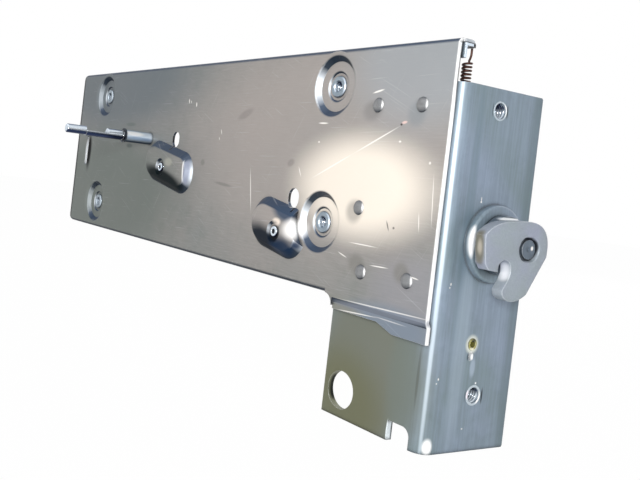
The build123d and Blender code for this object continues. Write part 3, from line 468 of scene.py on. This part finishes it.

# %% [markdown]
# ## The plate's edges
# A sheared edge shines, a fold keeps a dark line, and the slit at the left end is black inside
# with one bright rim. Most of this is painted: pale ovals paint highlights on the sheared edges
# and along the joggled strip, dark ones paint shade in the folds, the gaps and the slit, and a
# bright one paints the slit's lit rim. The recipe rubs all edges alike, and a bevel would need a
# hand on every corner of the solid. Long thin ovals along the edges tell one from the other.

# %% Edges of the main plate
# pale is bare metal in scratches and a painted highlight on edges; dark is always painted shade
pale = "#F4F1EC"
dark = "#16191D"
edge_shade_and_highlights = [
    ((-291.1, 0, 28.2), (6.5, 1.5, 2.0), 0, "#3E4C48", 0.75),
    ((-292.5, 0, 42.9), (10, 1.5, 1.8), 0, "#4A5856", 0.60),
    ((-384.9, 0, 24), (4.6, 5, 130), 0, dark, 0.9),
    ((-1.9, 8, 80.4), (1.4, 14, 2.4), 0, "#B4BAC0", 0.95),
    ((-1.9, 0.8, 20), (1.4, 4, 200), 0, "#FFFFFF", 0.95),
    ((-1.9, 1.75, 67), (1.2, 1.1, 22), 0, dark, 0.95),
    ((-1.9, 7, 79.2), (1.2, 10, 1.0), 0, dark, 0.95),
    ((-360.6, 0, 22), (5.5, 1.5, 18), 0, "#05070A", 1.0),
    ((-366.8, 1.1, 21.5), (1.2, 1.6, 15), 0, "#F2F6FA", 0.95),
    ((-352, 1.5, 63.5), (8, 5, 13), 0, "#7C868C", 0.55),
    ((-352, 1.5, -14.5), (8, 5, 13), 0, "#7A827E", 0.55),
    ((-27, 1.5, -35), (50, 4, 2.4), 1.7, "#767E8C", 0.75),
    ((-27, 0, -33.3), (36, 1.5, 0.4), 1.7, pale, 0.6),
    ((-45, 2, -38.6), (17, 5, 0.38), 3.4, pale, 0.7),
    ((-24, 2, -37.7), (12, 5, 0.35), -1, pale, 0.4),
]
print("marks on the edges", len(edge_shade_and_highlights))

# %% [markdown]
# ## Scratches and knocks
# Tools and screws have left scratches and small knocks on the plate. The recipe's noise gives
# fine scuffs anywhere, but these have known places, so each is a thin oval: pale for bare metal,
# dark for dirt. They are 1.5 mm deep, and the sheet is 1.6 mm thick, so they don't show on its
# back.

# %% Scratches and knocks
knocks = [
    ((-72, 0, 25.4), (18, 1.5, 0.5), 25, pale, 0.8),
    ((-44, 0, 38.4), (18, 1.5, 0.5), 25, pale, 0.8),
    ((-136.9, 0, 9.5), (0.5, 1.5, 14), 12, pale, 0.7),
    ((-214, 0, 58.1), (0.7, 1.5, 1.9), 8, pale, 0.9),
    ((-211.5, 0, 57.6), (0.5, 1.5, 1.2), 8, pale, 0.7),
    ((-204.8, 0, 55.9), (0.8, 1.5, 1.9), 10, pale, 0.9),
    ((-172.9, 0, 39.9), (0.4, 1.5, 2.0), 20, pale, 0.8),
    ((-174.4, 0, 36), (0.4, 1.5, 1.2), 20, pale, 0.7),
    ((-81.8, 0, 45.7), (4.5, 1.5, 0.5), 0, pale, 0.9),
    ((-83.5, 0, 36.6), (0.8, 1.5, 0.6), 0, pale, 0.8),
    ((-95.8, 0, 21.5), (0.4, 1.5, 3.4), 28, pale, 0.8),
    ((-45.8, 0, 60.2), (4.6, 1.5, 0.6), 12, pale, 0.9),
    ((-27.6, 0, 46.5), (2.2, 1.5, 0.8), 10, "#E8C8C0", 0.8),
    ((-29.3, 0, 45.6), (0.9, 1.5, 0.7), 0, "#3A2C2C", 0.9),
    ((-29, 0, 38.3), (1.0, 1.5, 0.6), 0, pale, 0.8),
    ((-10.5, 0, 30), (0.8, 1.5, 0.8), 0, pale, 0.7),
    ((-6.7, 0, 15), (0.35, 1.5, 13), 5, pale, 0.7),
    ((-12.8, 0, 5.5), (0.35, 1.5, 5), 8, pale, 0.7),
    ((-44.5, 0, -8), (11, 1.5, 0.35), 0, pale, 0.8),
    ((-33, 0, -16), (7, 1.5, 0.35), 2, pale, 0.8),
    ((-11.6, 0, -17.4), (3, 1.5, 0.4), -6, pale, 0.8),
    ((-57.3, 0, -14.2), (4, 1.5, 0.4), -16, pale, 0.7),
    ((-30.5, 0, 2), (0.5, 1.5, 3.0), 25, "#4A4440", 0.8),
    ((-26.8, 0, 1.5), (0.9, 1.5, 0.7), 0, "#4A4440", 0.8),
]
print("scratches and knocks", len(knocks))

# %% [markdown]
# ## The pressed sheet
# The main plate is cold rolled sheet, plated with bright zinc. A plain metal with a noise would
# do for a flat sheet. This one has drawn walls, so it also takes painted light by lean: shade on
# walls that face up and down, and a white highlight on the side of the lamp.

# %% Pressed sheet
# Zinc plated cold rolled steel: soft grey, fine lines along its length, painted shade and
# highlights on its drawn walls
zinc_sheet = plated_steel(
    "zinc_plated_rolled_sheet", "#7C7F7D", "#8A8784", "#6B716D", 0.2, 0.40,
    (0.05, 1, 1), 0.6, patches_and_painted_light=plate_stains_and_painted_light, marks_and_painted_light=pocket_shade_and_highlights + edge_shade_and_highlights + knocks,
    light_by_lean=[
        ("X", 0.22, 0.50, 0.90, "#EAF2FA", 0.85),
        ("X", 0.90, 0.97, 2, dark, 0.90),
        ("Z", 0.15, 0.50, 0.93, "#22364F", 0.95),
        ("Z", -0.15, -0.50, -0.93, "#10202F", 0.97),
    ],
    scuffs=[(-2, 0.14), (25, 0.10), (-58, 0.07)],
)

# %% [markdown]
# ## The bracket's marks, shade and highlights
# On the bracket the corner at the foot of the fold is rubbed white with a painted glint on it, a
# painted highlight runs down the fold and lies on the boss's left flank, painted shade fills the
# notch and the tab's hole and edges the face plate's holes, and there are small pale marks near
# those holes. They could be painted on an image, but it would have to be cut open and laid flat
# over the fold. An oval has a place in space, so one list serves all the faces.

# %% Marks, shade and highlights on the bracket
bracket_marks_shade_and_highlights = [
    # Painted glint on the rubbed corner at the foot of the fold, and a painted highlight down the
    # fold
    ((-0.2, 6.6, -84.0), (2.8, 3.0, 4.4), 0, "#FFFFFF", 0.95),
    ((-1.8, 4.3, -15), (1.25, 1.25, 130), 0, "#C9D6E0", 0.45),
    # Painted shade in the notch and the tab's hole, with a painted highlight on the hole's lit
    # wall
    ((-58.4, 5.0, -75), (2.6, 1.9, 11), 0, dark, 0.9),
    ((-19.9, 5.4, -83), (0.8, 1.5, 7), 0, dark, 0.9),
    ((-19.7, 4, -83), (0.8, 6, 6), 0, "#E8F0F4", 0.9),
    ((-19.9, 5.6, -82.5), (1.2, 0.9, 7), 0, dark, 0.9),
    # Painted highlight on the boss's left flank
    ((4.6, 14.2, 1.5), (4.2, 2.6, 13), 0, "#FFFFFF", 0.95),
    # Round the face plate's holes: painted highlights and painted shade at their rims
    ((0, 27.5, -51.8), (2, 2.2, 5.5), 0, "#A6B4C6", 0.6),
    ((0, 25.6, -42.2), (2, 4.6, 4.8), 0, "#F2F4E6", 0.9),
    ((0, 25.5, -47.0), (2, 1.5, 2.5), 12, "#FFFFFF", 0.95),
    ((0, 23.9, -47.4), (2, 0.7, 2.0), 0, "#3E4A54", 0.8),
    ((0, 35.2, -64.0), (2, 0.7, 4.4), 0, dark, 0.85),
    ((0, 24.9, -63.6), (2, 0.6, 3.4), 0, "#3E4A54", 0.6),
    ((0, 30.2, 54.7), (2, 0.7, 3.6), 0, dark, 0.7),
    ((0, 21.4, 54.7), (2, 0.6, 3.6), 0, "#3E4A54", 0.7),
    ((0, 30.6, -58.5), (2, 0.6, 0.6), 0, "#FFFFFF", 0.9),
    ((0, 25.4, -77.4), (2, 0.6, 0.4), 0, pale, 0.7),
    # Small pale marks near the face plate's holes
    ((0, 20.9, 17.8), (2, 0.35, 1.3), 0, pale, 0.8),
    ((0, 20.9, 16.7), (2, 0.6, 0.6), 0, pale, 0.9),
    ((0, 8.9, -17.6), (2, 0.5, 0.8), 0, pale, 0.8),
    ((0, 8.5, -19.0), (2, 0.4, 0.5), 0, pale, 0.7),
    ((0, 8.2, -56.2), (2, 0.45, 0.7), 0, pale, 0.8),
    ((0, 7.5, -58.0), (2, 0.4, 0.4), 0, pale, 0.7),
]
print("marks on the bracket", len(bracket_marks_shade_and_highlights))

# %% [markdown]
# ## The thick plate
# The bracket is folded from plate nearly twice as thick and is blue passivated, so it is cooler.
# Its streaks run down its length, and the tab at its foot has an olive film. It could share the
# sheet's finish, but the eye tells the two pieces apart by this change of colour. The levers and
# the bridge inside are cut from such plate too.

# %% Thick plate
# Blue passivated zinc on thick plate: cool grey, streaks down its length, olive on the tab
zinc_plate = plated_steel(
    "zinc_plated_thick_plate", "#73838B", "#8290A2", "#66767C", 0.2, 0.42,
    (1, 1, 0.05), 1.2, drift_mm=35,
    patches_and_painted_light=[
        ((-38, 3, -62), (48, 14, 60), 0, "#676A5E", 0.95),
        ((-52, 3, -82), (40, 14, 36), 0, "#5F6044", 0.8),
        ((-14, 3, -60), (12, 6, 40), 0, "#66706A", 0.6),
        ((-6, 3, -57), (1.0, 5, 16), 0, "#47483E", 0.5),
        ((0, 14.5, 10), (4, 3.5, 120), -2, "#6A7C88", 0.6),
        ((0, 18.5, -40), (4, 6.0, 60), 0, "#A3B2C2", 0.35),
        ((0, 52, 0), (4, 8, 200), 0, "#5A6A70", 0.6),
    ],
    marks_and_painted_light=bracket_marks_shade_and_highlights,
)

# %% [markdown]
# ## Turned parts
# The bushes come off a lathe, smoother and paler than sheet and with no rolling lines, and nuts,
# clips and the pull bar have the same plating. They could wear the sheet's metal, but then a bush
# would vanish in its dish. They get the recipe without a grain, with painted shade on flanks that
# face up and down, a painted highlight on flanks that face the lamp, and a painted highlight along
# the spindle's bush.

# %% Turned parts
# Turned and plated parts: paler, smoother, no rolling lines
zinc_parts = plated_steel(
    "zinc_plated_turned_parts", "#84919C", "#98A5AF", "#66727E", 0.45, 0.32,
    # Painted shade on flanks that face up and down, and a painted highlight towards the lamp
    light_by_lean=[
        ("Z", 0.3, 0.9, 2, "#5C7488", 0.7),
        ("X", 0.25, 0.75, 2, "#DCE9F6", 0.85),
        ("Z", -0.2, -0.8, -2, "#1A2A3C", 0.95),
    ],
    # Painted highlight along the spindle's bush, white above and pale blue below
    marks_and_painted_light=[
        ((-258.0, -13.5, 35.4), (2.6, 9.5, 2.0), 0, "#FFFFFF", 0.9),
        ((-257.6, -9, 32.6), (2.2, 14, 1.6), 0, "#86A0C0", 0.7),
    ],
)

# %% [markdown]
# ## Rivets and rims
# A closed rivet is duller than a turned part, because the tool has struck it, and its flanks get
# painted shade above and below and a painted highlight on the side towards the lamp. A
# countersunk rim is the other way round: freshly cut, and plated bright, with painted glints on
# it. They could share the turned parts' metal, but on the real lock these small circles catch the
# eye first.

# %% Rivets and rims
# Riveted steel: duller than the turned parts, with painted shade on its rim above and below and a
# painted highlight on the side towards the lamp
riveted_steel = plated_steel(
    "headed_rivet_zinc", "#74777A", "#8C8B8A", "#55585C", 0.3, 0.40, stain_mm=2.5,
    light_by_lean=[
        ("Z", 0.25, 0.8, 2, "#4C525A", 0.8),
        ("X", 0.48, 0.78, 2, "#FFFFFF", 0.85),
        ("Z", -0.15, -0.7, -2, "#2E343C", 0.9),
    ],
)
# Countersunk rims: fresh bright zinc, with painted glints on them
rim_zinc = plated_steel(
    "countersunk_rim_zinc", "#A8B6C0", "#B8C4CC", "#90A0AA", 0.2, 0.35, corner_shade=0.2,
    marks_and_painted_light=[
        ((0, 33.4, -65.4), (3, 2.4, 4.2), 0, "#FFFFFF", 0.95),
        ((0, 26.2, -63.2), (3, 1.6, 2.4), 0, "#F0E8F0", 0.9),
        ((0, 29.0, 55.6), (3, 2.0, 3.6), 0, "#FFFFFF", 0.95),
    ],
)

# %% [markdown]
# ## The claw's steel
# The claw, with the wheel and the pawl behind it, is hardened and blasted, which takes its shine
# and leaves a violet cast, while its rims are rubbed pale. A plain rough metal would give the
# dull faces, but not the rims. The recipe has both, with wide wear on the edges and a few dark
# ovals where the shaft's recess is in shade.

# %% Steel of the claw
# Hardened steel, blasted then plated: pale grey with a violet cast and rubbed rims
claw_steel = plated_steel(
    "hardened_steel_blasted", "#9096A7", "#8F9A9D", "#7E838E", 0.15, 0.48, (1, 1, 1), 0.4,
    bump=0.15, drift_mm=18, edge="#E9ECF0", edge_mm=0.5, edge_most=0.9,
    patches_and_painted_light=[
        ((16.5, 3.0, -2), (3.4, 3.0, 16), 0, "#5F5C4C", 0.9),
        ((16.8, 2.6, -1), (1.9, 2.0, 5.0), 0, "#A8A296", 0.8),
    ],
    marks_and_painted_light=[
        # Painted shade in the shaft's recess
        ((17.0, 29.4, 0), (2.4, 8.5, 7.2), 0, "#4E5863", 0.85),
        ((18.1, 34.0, 1.6), (1.5, 4.0, 5.8), 0, "#0E1319", 0.95),
        ((18.0, 29.0, 5.0), (1.45, 5.5, 1.8), 0, "#1A2129", 0.9),
        # Painted highlight on the inner side of the hook
        ((17, 18.3, -9.5), (4, 2.0, 4.5), 0, "#EDEEF2", 0.75),
    ],
)

# %% [markdown]
# ## Shafts, springs and the pawl's pin
# The spindle and the pins are turned bright, the claw's shaft is hammered over at its end, and
# the springs are oiled wire. The spindle's clip is blued, and the pawl's pin is passivated yellow.
# One plain metal would do for parts so small, but they stand beside each other and would look
# like one piece. The recipe serves them too, with more metal in it and colours of their own.

# %% Shafts, springs and pin
# Bright turned steel: a hard shine with a cold tone, with painted shade on faces that look up and
# on its underside
bright_steel = plated_steel(
    "bright_turned_steel", "#CBD8E6", "#DDE6EE", "#94A4B6", 0.9, 0.16, (1, 0.1, 1), 0.4,
    light_by_lean=[("Z", 0.62, 0.88, 2, "#2E4668", 0.9), ("Z", -0.02, -0.35, -2, "#0B1F45", 0.97)],
)
# Peened shaft end: hammered steel, painted dark as shade in the claw's recess, with a painted
# glint on its end and a painted highlight on its flange
shaded_shaft_steel = plated_steel(
    "peened_shaft_steel", "#55616E", "#66727E", "#3C4650", 0.4, 0.42,
    marks_and_painted_light=[
        ((18.6, 32.0, 0.6), (3, 1.0, 1.2), 0, "#F6F2EE", 0.9),
        ((8.5, 30, 10.9), (4, 12, 0.9), 0, "#F8FAFC", 0.95),
    ],
)
# Oiled spring wire: dark brown, with a soft shine
spring_steel = plated_steel(
    "oiled_spring_wire", "#4A322C", "#5E473A", "#2B1D1A", 0.6, 0.38
)
# Blued spring steel: nearly black
blued_steel = plated_steel(
    "blued_spring_steel", "#1C2129", "#2A313C", "#101318", 0.6, 0.30, edge="#8C98A8"
)
# Yellow passivated zinc: brass-like film on the pawl's pin, with a painted highlight towards the
# lamp, and painted shade above and a painted highlight below its hole
yellow_zinc = plated_steel(
    "yellow_passivated_zinc", "#7E7A48", "#98946A", "#625E34", 0.3, 0.40, edge="#F6F6E8",
    light_by_lean=[("X", 0.5, 0.9, 2, "#A39E5C", 0.9)],
    marks_and_painted_light=[
        ((-2, 25.7, -42.1), (3, 2.9, 2.9), 0, "#77742E", 0.9),
        ((-1, 26.3, -40.3), (3, 2.6, 1.7), 0, "#30332A", 0.9),
        ((0, 25.4, -44.1), (3, 1.8, 0.9), 0, "#F0EED4", 0.9),
    ],
)

# %% [markdown]
# ## Dress the solids
# Each node keeps its shape and takes the metal that its record slot names. A list of nodes and
# metals would do as well, but the record already says it, and one source can't disagree with
# itself. The spindle's clip is darker than the rest of its slot, and the rotor's shaft is painted
# dark as shade in the claw's recess, so they get their own.

# %% Dress the solids
finishes = {
    "zinc_sheet": zinc_sheet,
    "zinc_plate": zinc_plate,
    "zinc_parts": zinc_parts,
    "claw_steel": claw_steel,
    "bright_steel": bright_steel,
    "spring_steel": spring_steel,
    "yellow_zinc": yellow_zinc,
}
own_finishes = {"spindle_clip": blued_steel, "rotor_shaft": shaded_shaft_steel}
slots = {part["node"]: part["material_slot"] for part in frame["record"]["subparts"]}
for node_name, node in frame["nodes"].items():
    node.data.materials.clear()
    node.data.materials.append(own_finishes.get(node_name, finishes[slots[node_name]]))
print("dressed", len(slots), "solids in", len(set(slots.values())), "slots")

# %% [markdown]
# ## From bmesh to a piece
# Small forms such as rivet heads are added here. They could be made with Blender's menu tools,
# but a bmesh is exact and repeats each time. A piece is made in one, then becomes an object at
# the origin that takes the finish of a slot, so a later scene can repaint it. It rides on a body
# when it is given one.


# %% From bmesh to a piece
def piece(shell, name, body, slot, smooth=40, finish=None):
    """Turn a bmesh into an object; it rides on its body and wears its slot's or its own finish."""
    bmesh.ops.recalc_face_normals(shell, faces=shell.faces)
    for face in shell.faces:
        face.smooth = True
    for edge in shell.edges:
        edge.smooth = not edge.is_manifold or edge.calc_face_angle() < math.radians(smooth)
    mesh = bpy.data.meshes.new(name)
    shell.to_mesh(mesh)
    shell.free()
    made = bpy.data.objects.new(name, mesh)
    bpy.context.scene.collection.objects.link(made)
    made.data.materials.append(finish or finishes[slot])
    if body:
        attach(made, body)
    print(name, "faces", len(mesh.polygons))
    return made


# %% [markdown]
# ## Rivets
# Five rivets hold the plate on the bracket. A closed rivet has a low dome in front and a smaller,
# flatter tail behind. A squashed sphere would give the dome, but not the sharp step under it. A
# lathe gives both from half a profile, in mm from the rivet's axis and from the sheet's front.
# The same lathe cuts a thread later, when the profile climbs as it turns.


# %% Rivets
def turned(shell, points, centre, axis, steps, turns=1, rise=0.0):
    """Spin a chain of points round an axis, closed after one turn or rising with each turn."""
    axis = Vector(axis)
    chain = [shell.verts.new(point) for point in points]
    links = [shell.edges.new(pair) for pair in zip(chain, chain[1:])]
    bmesh.ops.spin(
        shell, geom=chain + links, cent=centre, axis=axis, dvec=axis * (rise / steps),
        angle=2 * math.pi * turns, steps=steps * turns, use_merge=turns == 1,
    )


rivet_profile = [
    (0.0, -1.35), (1.1, -1.28), (2.0, -1.05), (2.8, -0.65), (3.25, -0.2), (3.3, 0.02),
    (1.9, 0.02), (1.9, 5.8), (3.0, 5.8), (2.9, 6.3), (2.2, 6.75), (0.0, 6.9),
]
rivet_places = [(-45.0, 54.0), (-18.5, 54.0), (-50.0, 8.0), (-44.0, -20.0), (-15.7, -19.2)]
rivets = bmesh.new()
for x, z in rivet_places:
    points = [place(x + r, y, z) for r, y in rivet_profile]
    turned(rivets, points, place(x, 0, z), (0, 1, 0), steps=32)
bmesh.ops.remove_doubles(rivets, verts=rivets.verts, dist=0.01 * MM)
heads = piece(rivets, "domed_rivets", "housing", "zinc_parts", finish=riveted_steel)
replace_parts(heads, "bracket_rivets")

# %% [markdown]
# ## Threads
# A tapped hole shows its thread as bright and dark turns: M6 in the bushes, M8 in the face
# plate. Lines in the material would look flat from the side, and a true thread cut into the
# solid takes far more faces. The solids keep plain bores, and a small three-point ridge climbs
# round the wall.


# %% Threads
def thread(shell, middle, axis, core, pitch, turns, height):
    """Ridge of a tapped hole, climbing along an axis from a middle point on that axis."""
    axis = Vector(axis)
    out = axis.orthogonal().normalized()
    foot = middle - axis * (pitch * turns / 2) * MM
    ridge = [(core + 0.02, 0.0), (core - height, 0.35 * pitch), (core + 0.02, 0.7 * pitch)]
    points = [foot + out * r * MM + axis * h * MM for r, h in ridge]
    turned(shell, points, foot, axis, steps=24, turns=turns, rise=pitch * MM)


bush_holes = [(-339, 63.5), (-339, -14.5), (-77, 63.5), (-77, -1.3)]
bush_threads = bmesh.new()
for x, z in bush_holes:
    thread(
        bush_threads, place(x, 7.4, z), (0, 1, 0), core=2.5, pitch=1.0, turns=7, height=0.35
    )
piece(bush_threads, "bush_threads", "housing", "bright_steel", 30)
face_holes = {"upper": (25.8, 54.7), "lower": (29.9, -63.6)}
face_threads = bmesh.new()
for y, z in face_holes.values():
    thread(
        face_threads, place(-5.3, y, z), (1, 0, 0), core=3.4, pitch=1.25, turns=6, height=0.5
    )
piece(face_threads, "face_threads", "housing", "bright_steel", 30)

# %% [markdown]
# ## Rims of the face holes
# Each screw hole has a bright rim where it was countersunk before tapping. The lower one is
# wider, as if a screw's head had rubbed there. A bright oval round the hole would do from far
# off, but it has no edge that catches the light, so each rim is a thin ring, 0.12 mm proud.

# %% Rims of the face holes
rim_widths = {"upper": 0.6, "lower": 0.9}
face_rims = bmesh.new()
for hole, (y, z) in face_holes.items():
    width = rim_widths[hole]
    rim = [(3.35, 0.05), (3.4, 0.12), (3.4 + width, 0.08), (3.45 + width, -0.05)]
    points = [place(x, y, z + r) for r, x in rim]
    turned(face_rims, points, place(0, y, z), (1, 0, 0), steps=40)
bmesh.ops.remove_doubles(face_rims, verts=face_rims.verts, dist=0.01 * MM)
piece(face_rims, "face_rims", "housing", "zinc_plate", finish=rim_zinc)

# %% [markdown]
# ## Claw
# The claw closes round a pin on the door frame. It is cut from thick plate and tumbled, so its
# rims are rounded and shine. The edge wear of the material alone leaves the outline sharp. A
# copy of the solid is merged, its flat faces are joined, and a bevel runs round every sharp edge.


# %% Claw
def merged_copy(node_name):
    """Bmesh copy of a node's solid with its doubled corners joined."""
    shell = bmesh.new()
    shell.from_mesh(frame["nodes"][node_name].data)
    bmesh.ops.remove_doubles(shell, verts=shell.verts, dist=0.005 * MM)
    return shell


def softened(shell, width, sharp=30):
    """Round a bmesh's sharp edges to a width in mm."""
    bmesh.ops.dissolve_limit(
        shell, angle_limit=math.radians(1.5), verts=shell.verts, edges=shell.edges
    )
    keen = [
        edge for edge in shell.edges
        if edge.is_manifold and edge.calc_face_angle() > math.radians(sharp)
    ]
    bmesh.ops.bevel(
        shell, geom=keen, offset=width * MM, offset_type="OFFSET", segments=3, profile=0.5,
        affect="EDGES", material=-1, clamp_overlap=True,
    )
    return shell


tumbled = softened(merged_copy("rotor_claw"), width=0.45)
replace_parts(piece(tumbled, "tumbled_claw", "rotor", "claw_steel"), "rotor_claw")

# %% [markdown]
# ## Springs
# One spring pulls the levers home and one throws the claw open. A pull spring has its ends on
# two pieces that move apart, so if it rode on one of them the other would cut through it. Here a
# copy of each solid takes its place, baked where it stands, and rides on no body.


# %% Springs
def stretched(node_name, name):
    """Copy of a spring's solid, baked where it stands, that takes the node's place and rides on no
    body.
    """
    spring = piece(merged_copy(node_name), name, None, "spring_steel", 60)
    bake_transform(spring)
    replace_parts(spring, node_name)


stretched(
    "return_spring", "return_spring_wire",
)
stretched(
    "rotor_spring", "rotor_spring_wire",
)

# %% [markdown]
# ## Floor
# The real picture was cut out on white. A white world alone gives that, but nothing for the lock
# to stand on, so a pale card lies under it and takes its shadow. It glows for the camera and in
# the metal, so that it is as white there as the room, and lights the lock no more than card
# would. The lock has no glass, but a later scene may have some, so glass shows the glow too.


# %% Floor
def seen_or_mirrored(tree):
    """1 for a ray from the camera, off metal or through glass, and 0 for light that falls."""
    rays = add(tree, "ShaderNodeLightPath").outputs
    seen = rays["Is Camera Ray"]
    for way in ("Is Glossy Ray", "Is Transmission Ray"):
        either = add(tree, "ShaderNodeMath", {0: seen, 1: rays[way]}, operation="MAXIMUM")
        seen = either.outputs[0]
    return seen


floor_z = cad_box[0][2]
bpy.ops.mesh.primitive_plane_add(size=6.0, location=(0, 0, floor_z))
floor = bpy.context.object
floor.name = "floor"
# White card: matt, and just short of a full glow, so that the shadow still shows
card = bpy.data.materials.new("white_card")
card.use_nodes = True
card_tree = card.node_tree
card_shader = card_tree.nodes["Principled BSDF"]
card_shader.inputs["Base Color"].default_value = linear("#F4F4F4")
card_shader.inputs["Roughness"].default_value = 0.9
card_glow = add(card_tree, "ShaderNodeEmission", values={"Strength": 1.0})
glow_share = add(
    card_tree, "ShaderNodeMath", {0: seen_or_mirrored(card_tree)}, {1: 0.985},
    operation="MULTIPLY",
)
card_mix = add(
    card_tree, "ShaderNodeMixShader",
    {0: glow_share.outputs[0], 1: card_shader.outputs[0], 2: card_glow.outputs[0]},
)
card_tree.links.new(card_mix.outputs[0], card_tree.nodes["Material Output"].inputs["Surface"])
floor.data.materials.append(card)
print("floor at", round(floor_z / MM, 2), "mm")

# %% [markdown]
# ## World
# Metal shows what stands round it. A grey room would keep its shapes, but then the picture's
# ground turns grey as well. So the room is white where it is seen or mirrored, but it gives only
# a low general light, and the lamps can shape the metal.

# %% World
world = bpy.data.worlds.new("studio")
bpy.context.scene.world = world
world.use_nodes = True
sky = world.node_tree
fill = sky.nodes["Background"]
fill.inputs["Color"].default_value = linear("#FFFFFF")
fill.inputs["Strength"].default_value = 0.25
white = add(sky, "ShaderNodeBackground", values={"Color": linear("#FFFFFF"), "Strength": 1.0})
sky_mix = add(
    sky, "ShaderNodeMixShader",
    {0: seen_or_mirrored(sky), 1: fill.outputs[0], 2: white.outputs[0]},
)
sky.links.new(sky_mix.outputs[0], sky.nodes["World Output"].inputs["Surface"])
print("general light", fill.inputs["Strength"].default_value)

# %% [markdown]
# ## Lamps
# The real picture seems to be taken with a flash, which left the glare on the plate's right half.
# A sun lamp would light it evenly. A small lamp beside the camera gives that glare, with more
# glare painted on the plate's right half, and two large soft ones above and behind keep the
# shadows open.


# %% Lamps
def softbox(name, spot, aim, size, watts):
    """Square area lamp at a place, turned to a point, both in row metres."""
    lamp = bpy.data.lights.new(name, "AREA")
    lamp.shape = "SQUARE"
    lamp.size = size
    lamp.energy = watts
    holder = bpy.data.objects.new(name, lamp)
    bpy.context.scene.collection.objects.link(holder)
    holder.location = spot
    holder.rotation_euler = (aim - spot).to_track_quat("-Z", "Y").to_euler()
    print(name, round((aim - spot).length, 2), "m away,", watts, "W")


softbox("flash", place(450, -520, 100), place(-100, 0, 0), size=0.12, watts=5.4)
softbox("overhead", place(-300, -700, 1000), place(-190, 0, 0), size=1.0, watts=3.0)
softbox("behind", place(-300, 900, 500), place(-190, 0, 0), size=1.0, watts=5.0)

# %% [markdown]
# ## Camera
# The camera stands where the photographer stood. It could be placed by eye, but then every piece
# is a little off. Its place, turn, lens and shift come from matching the plate's corners, the
# dishes and the face plate's holes, so the pieces land close to where the picture has them.

# %% Camera
FOCUS_PX = 829
WIDTH_PX = 640
SENSOR_MM = 36.0
to_right = Vector((0.5271, 0.8420, 0.1148))
forward = Vector((-0.8467, 0.5319, -0.0137)).normalized()
up = to_right.cross(forward).normalized()
side = forward.cross(up).normalized()
view_data = bpy.data.cameras.new("camera")
view = bpy.data.objects.new("camera", view_data)
bpy.context.scene.collection.objects.link(view)
turn = Matrix((side, up, -forward)).transposed()
view.matrix_world = Matrix.Translation(place(230.4, -250.0, 15.8)) @ turn.to_4x4()
view_data.sensor_width = SENSOR_MM
view_data.lens = FOCUS_PX / WIDTH_PX * SENSOR_MM
view_data.shift_x = 0.1557
view_data.shift_y = -0.0851
view_data.clip_start = 0.01
bpy.context.scene.camera = view
bpy.context.scene.view_settings.view_transform = "Standard"
print("lens", round(view_data.lens, 1), "mm")
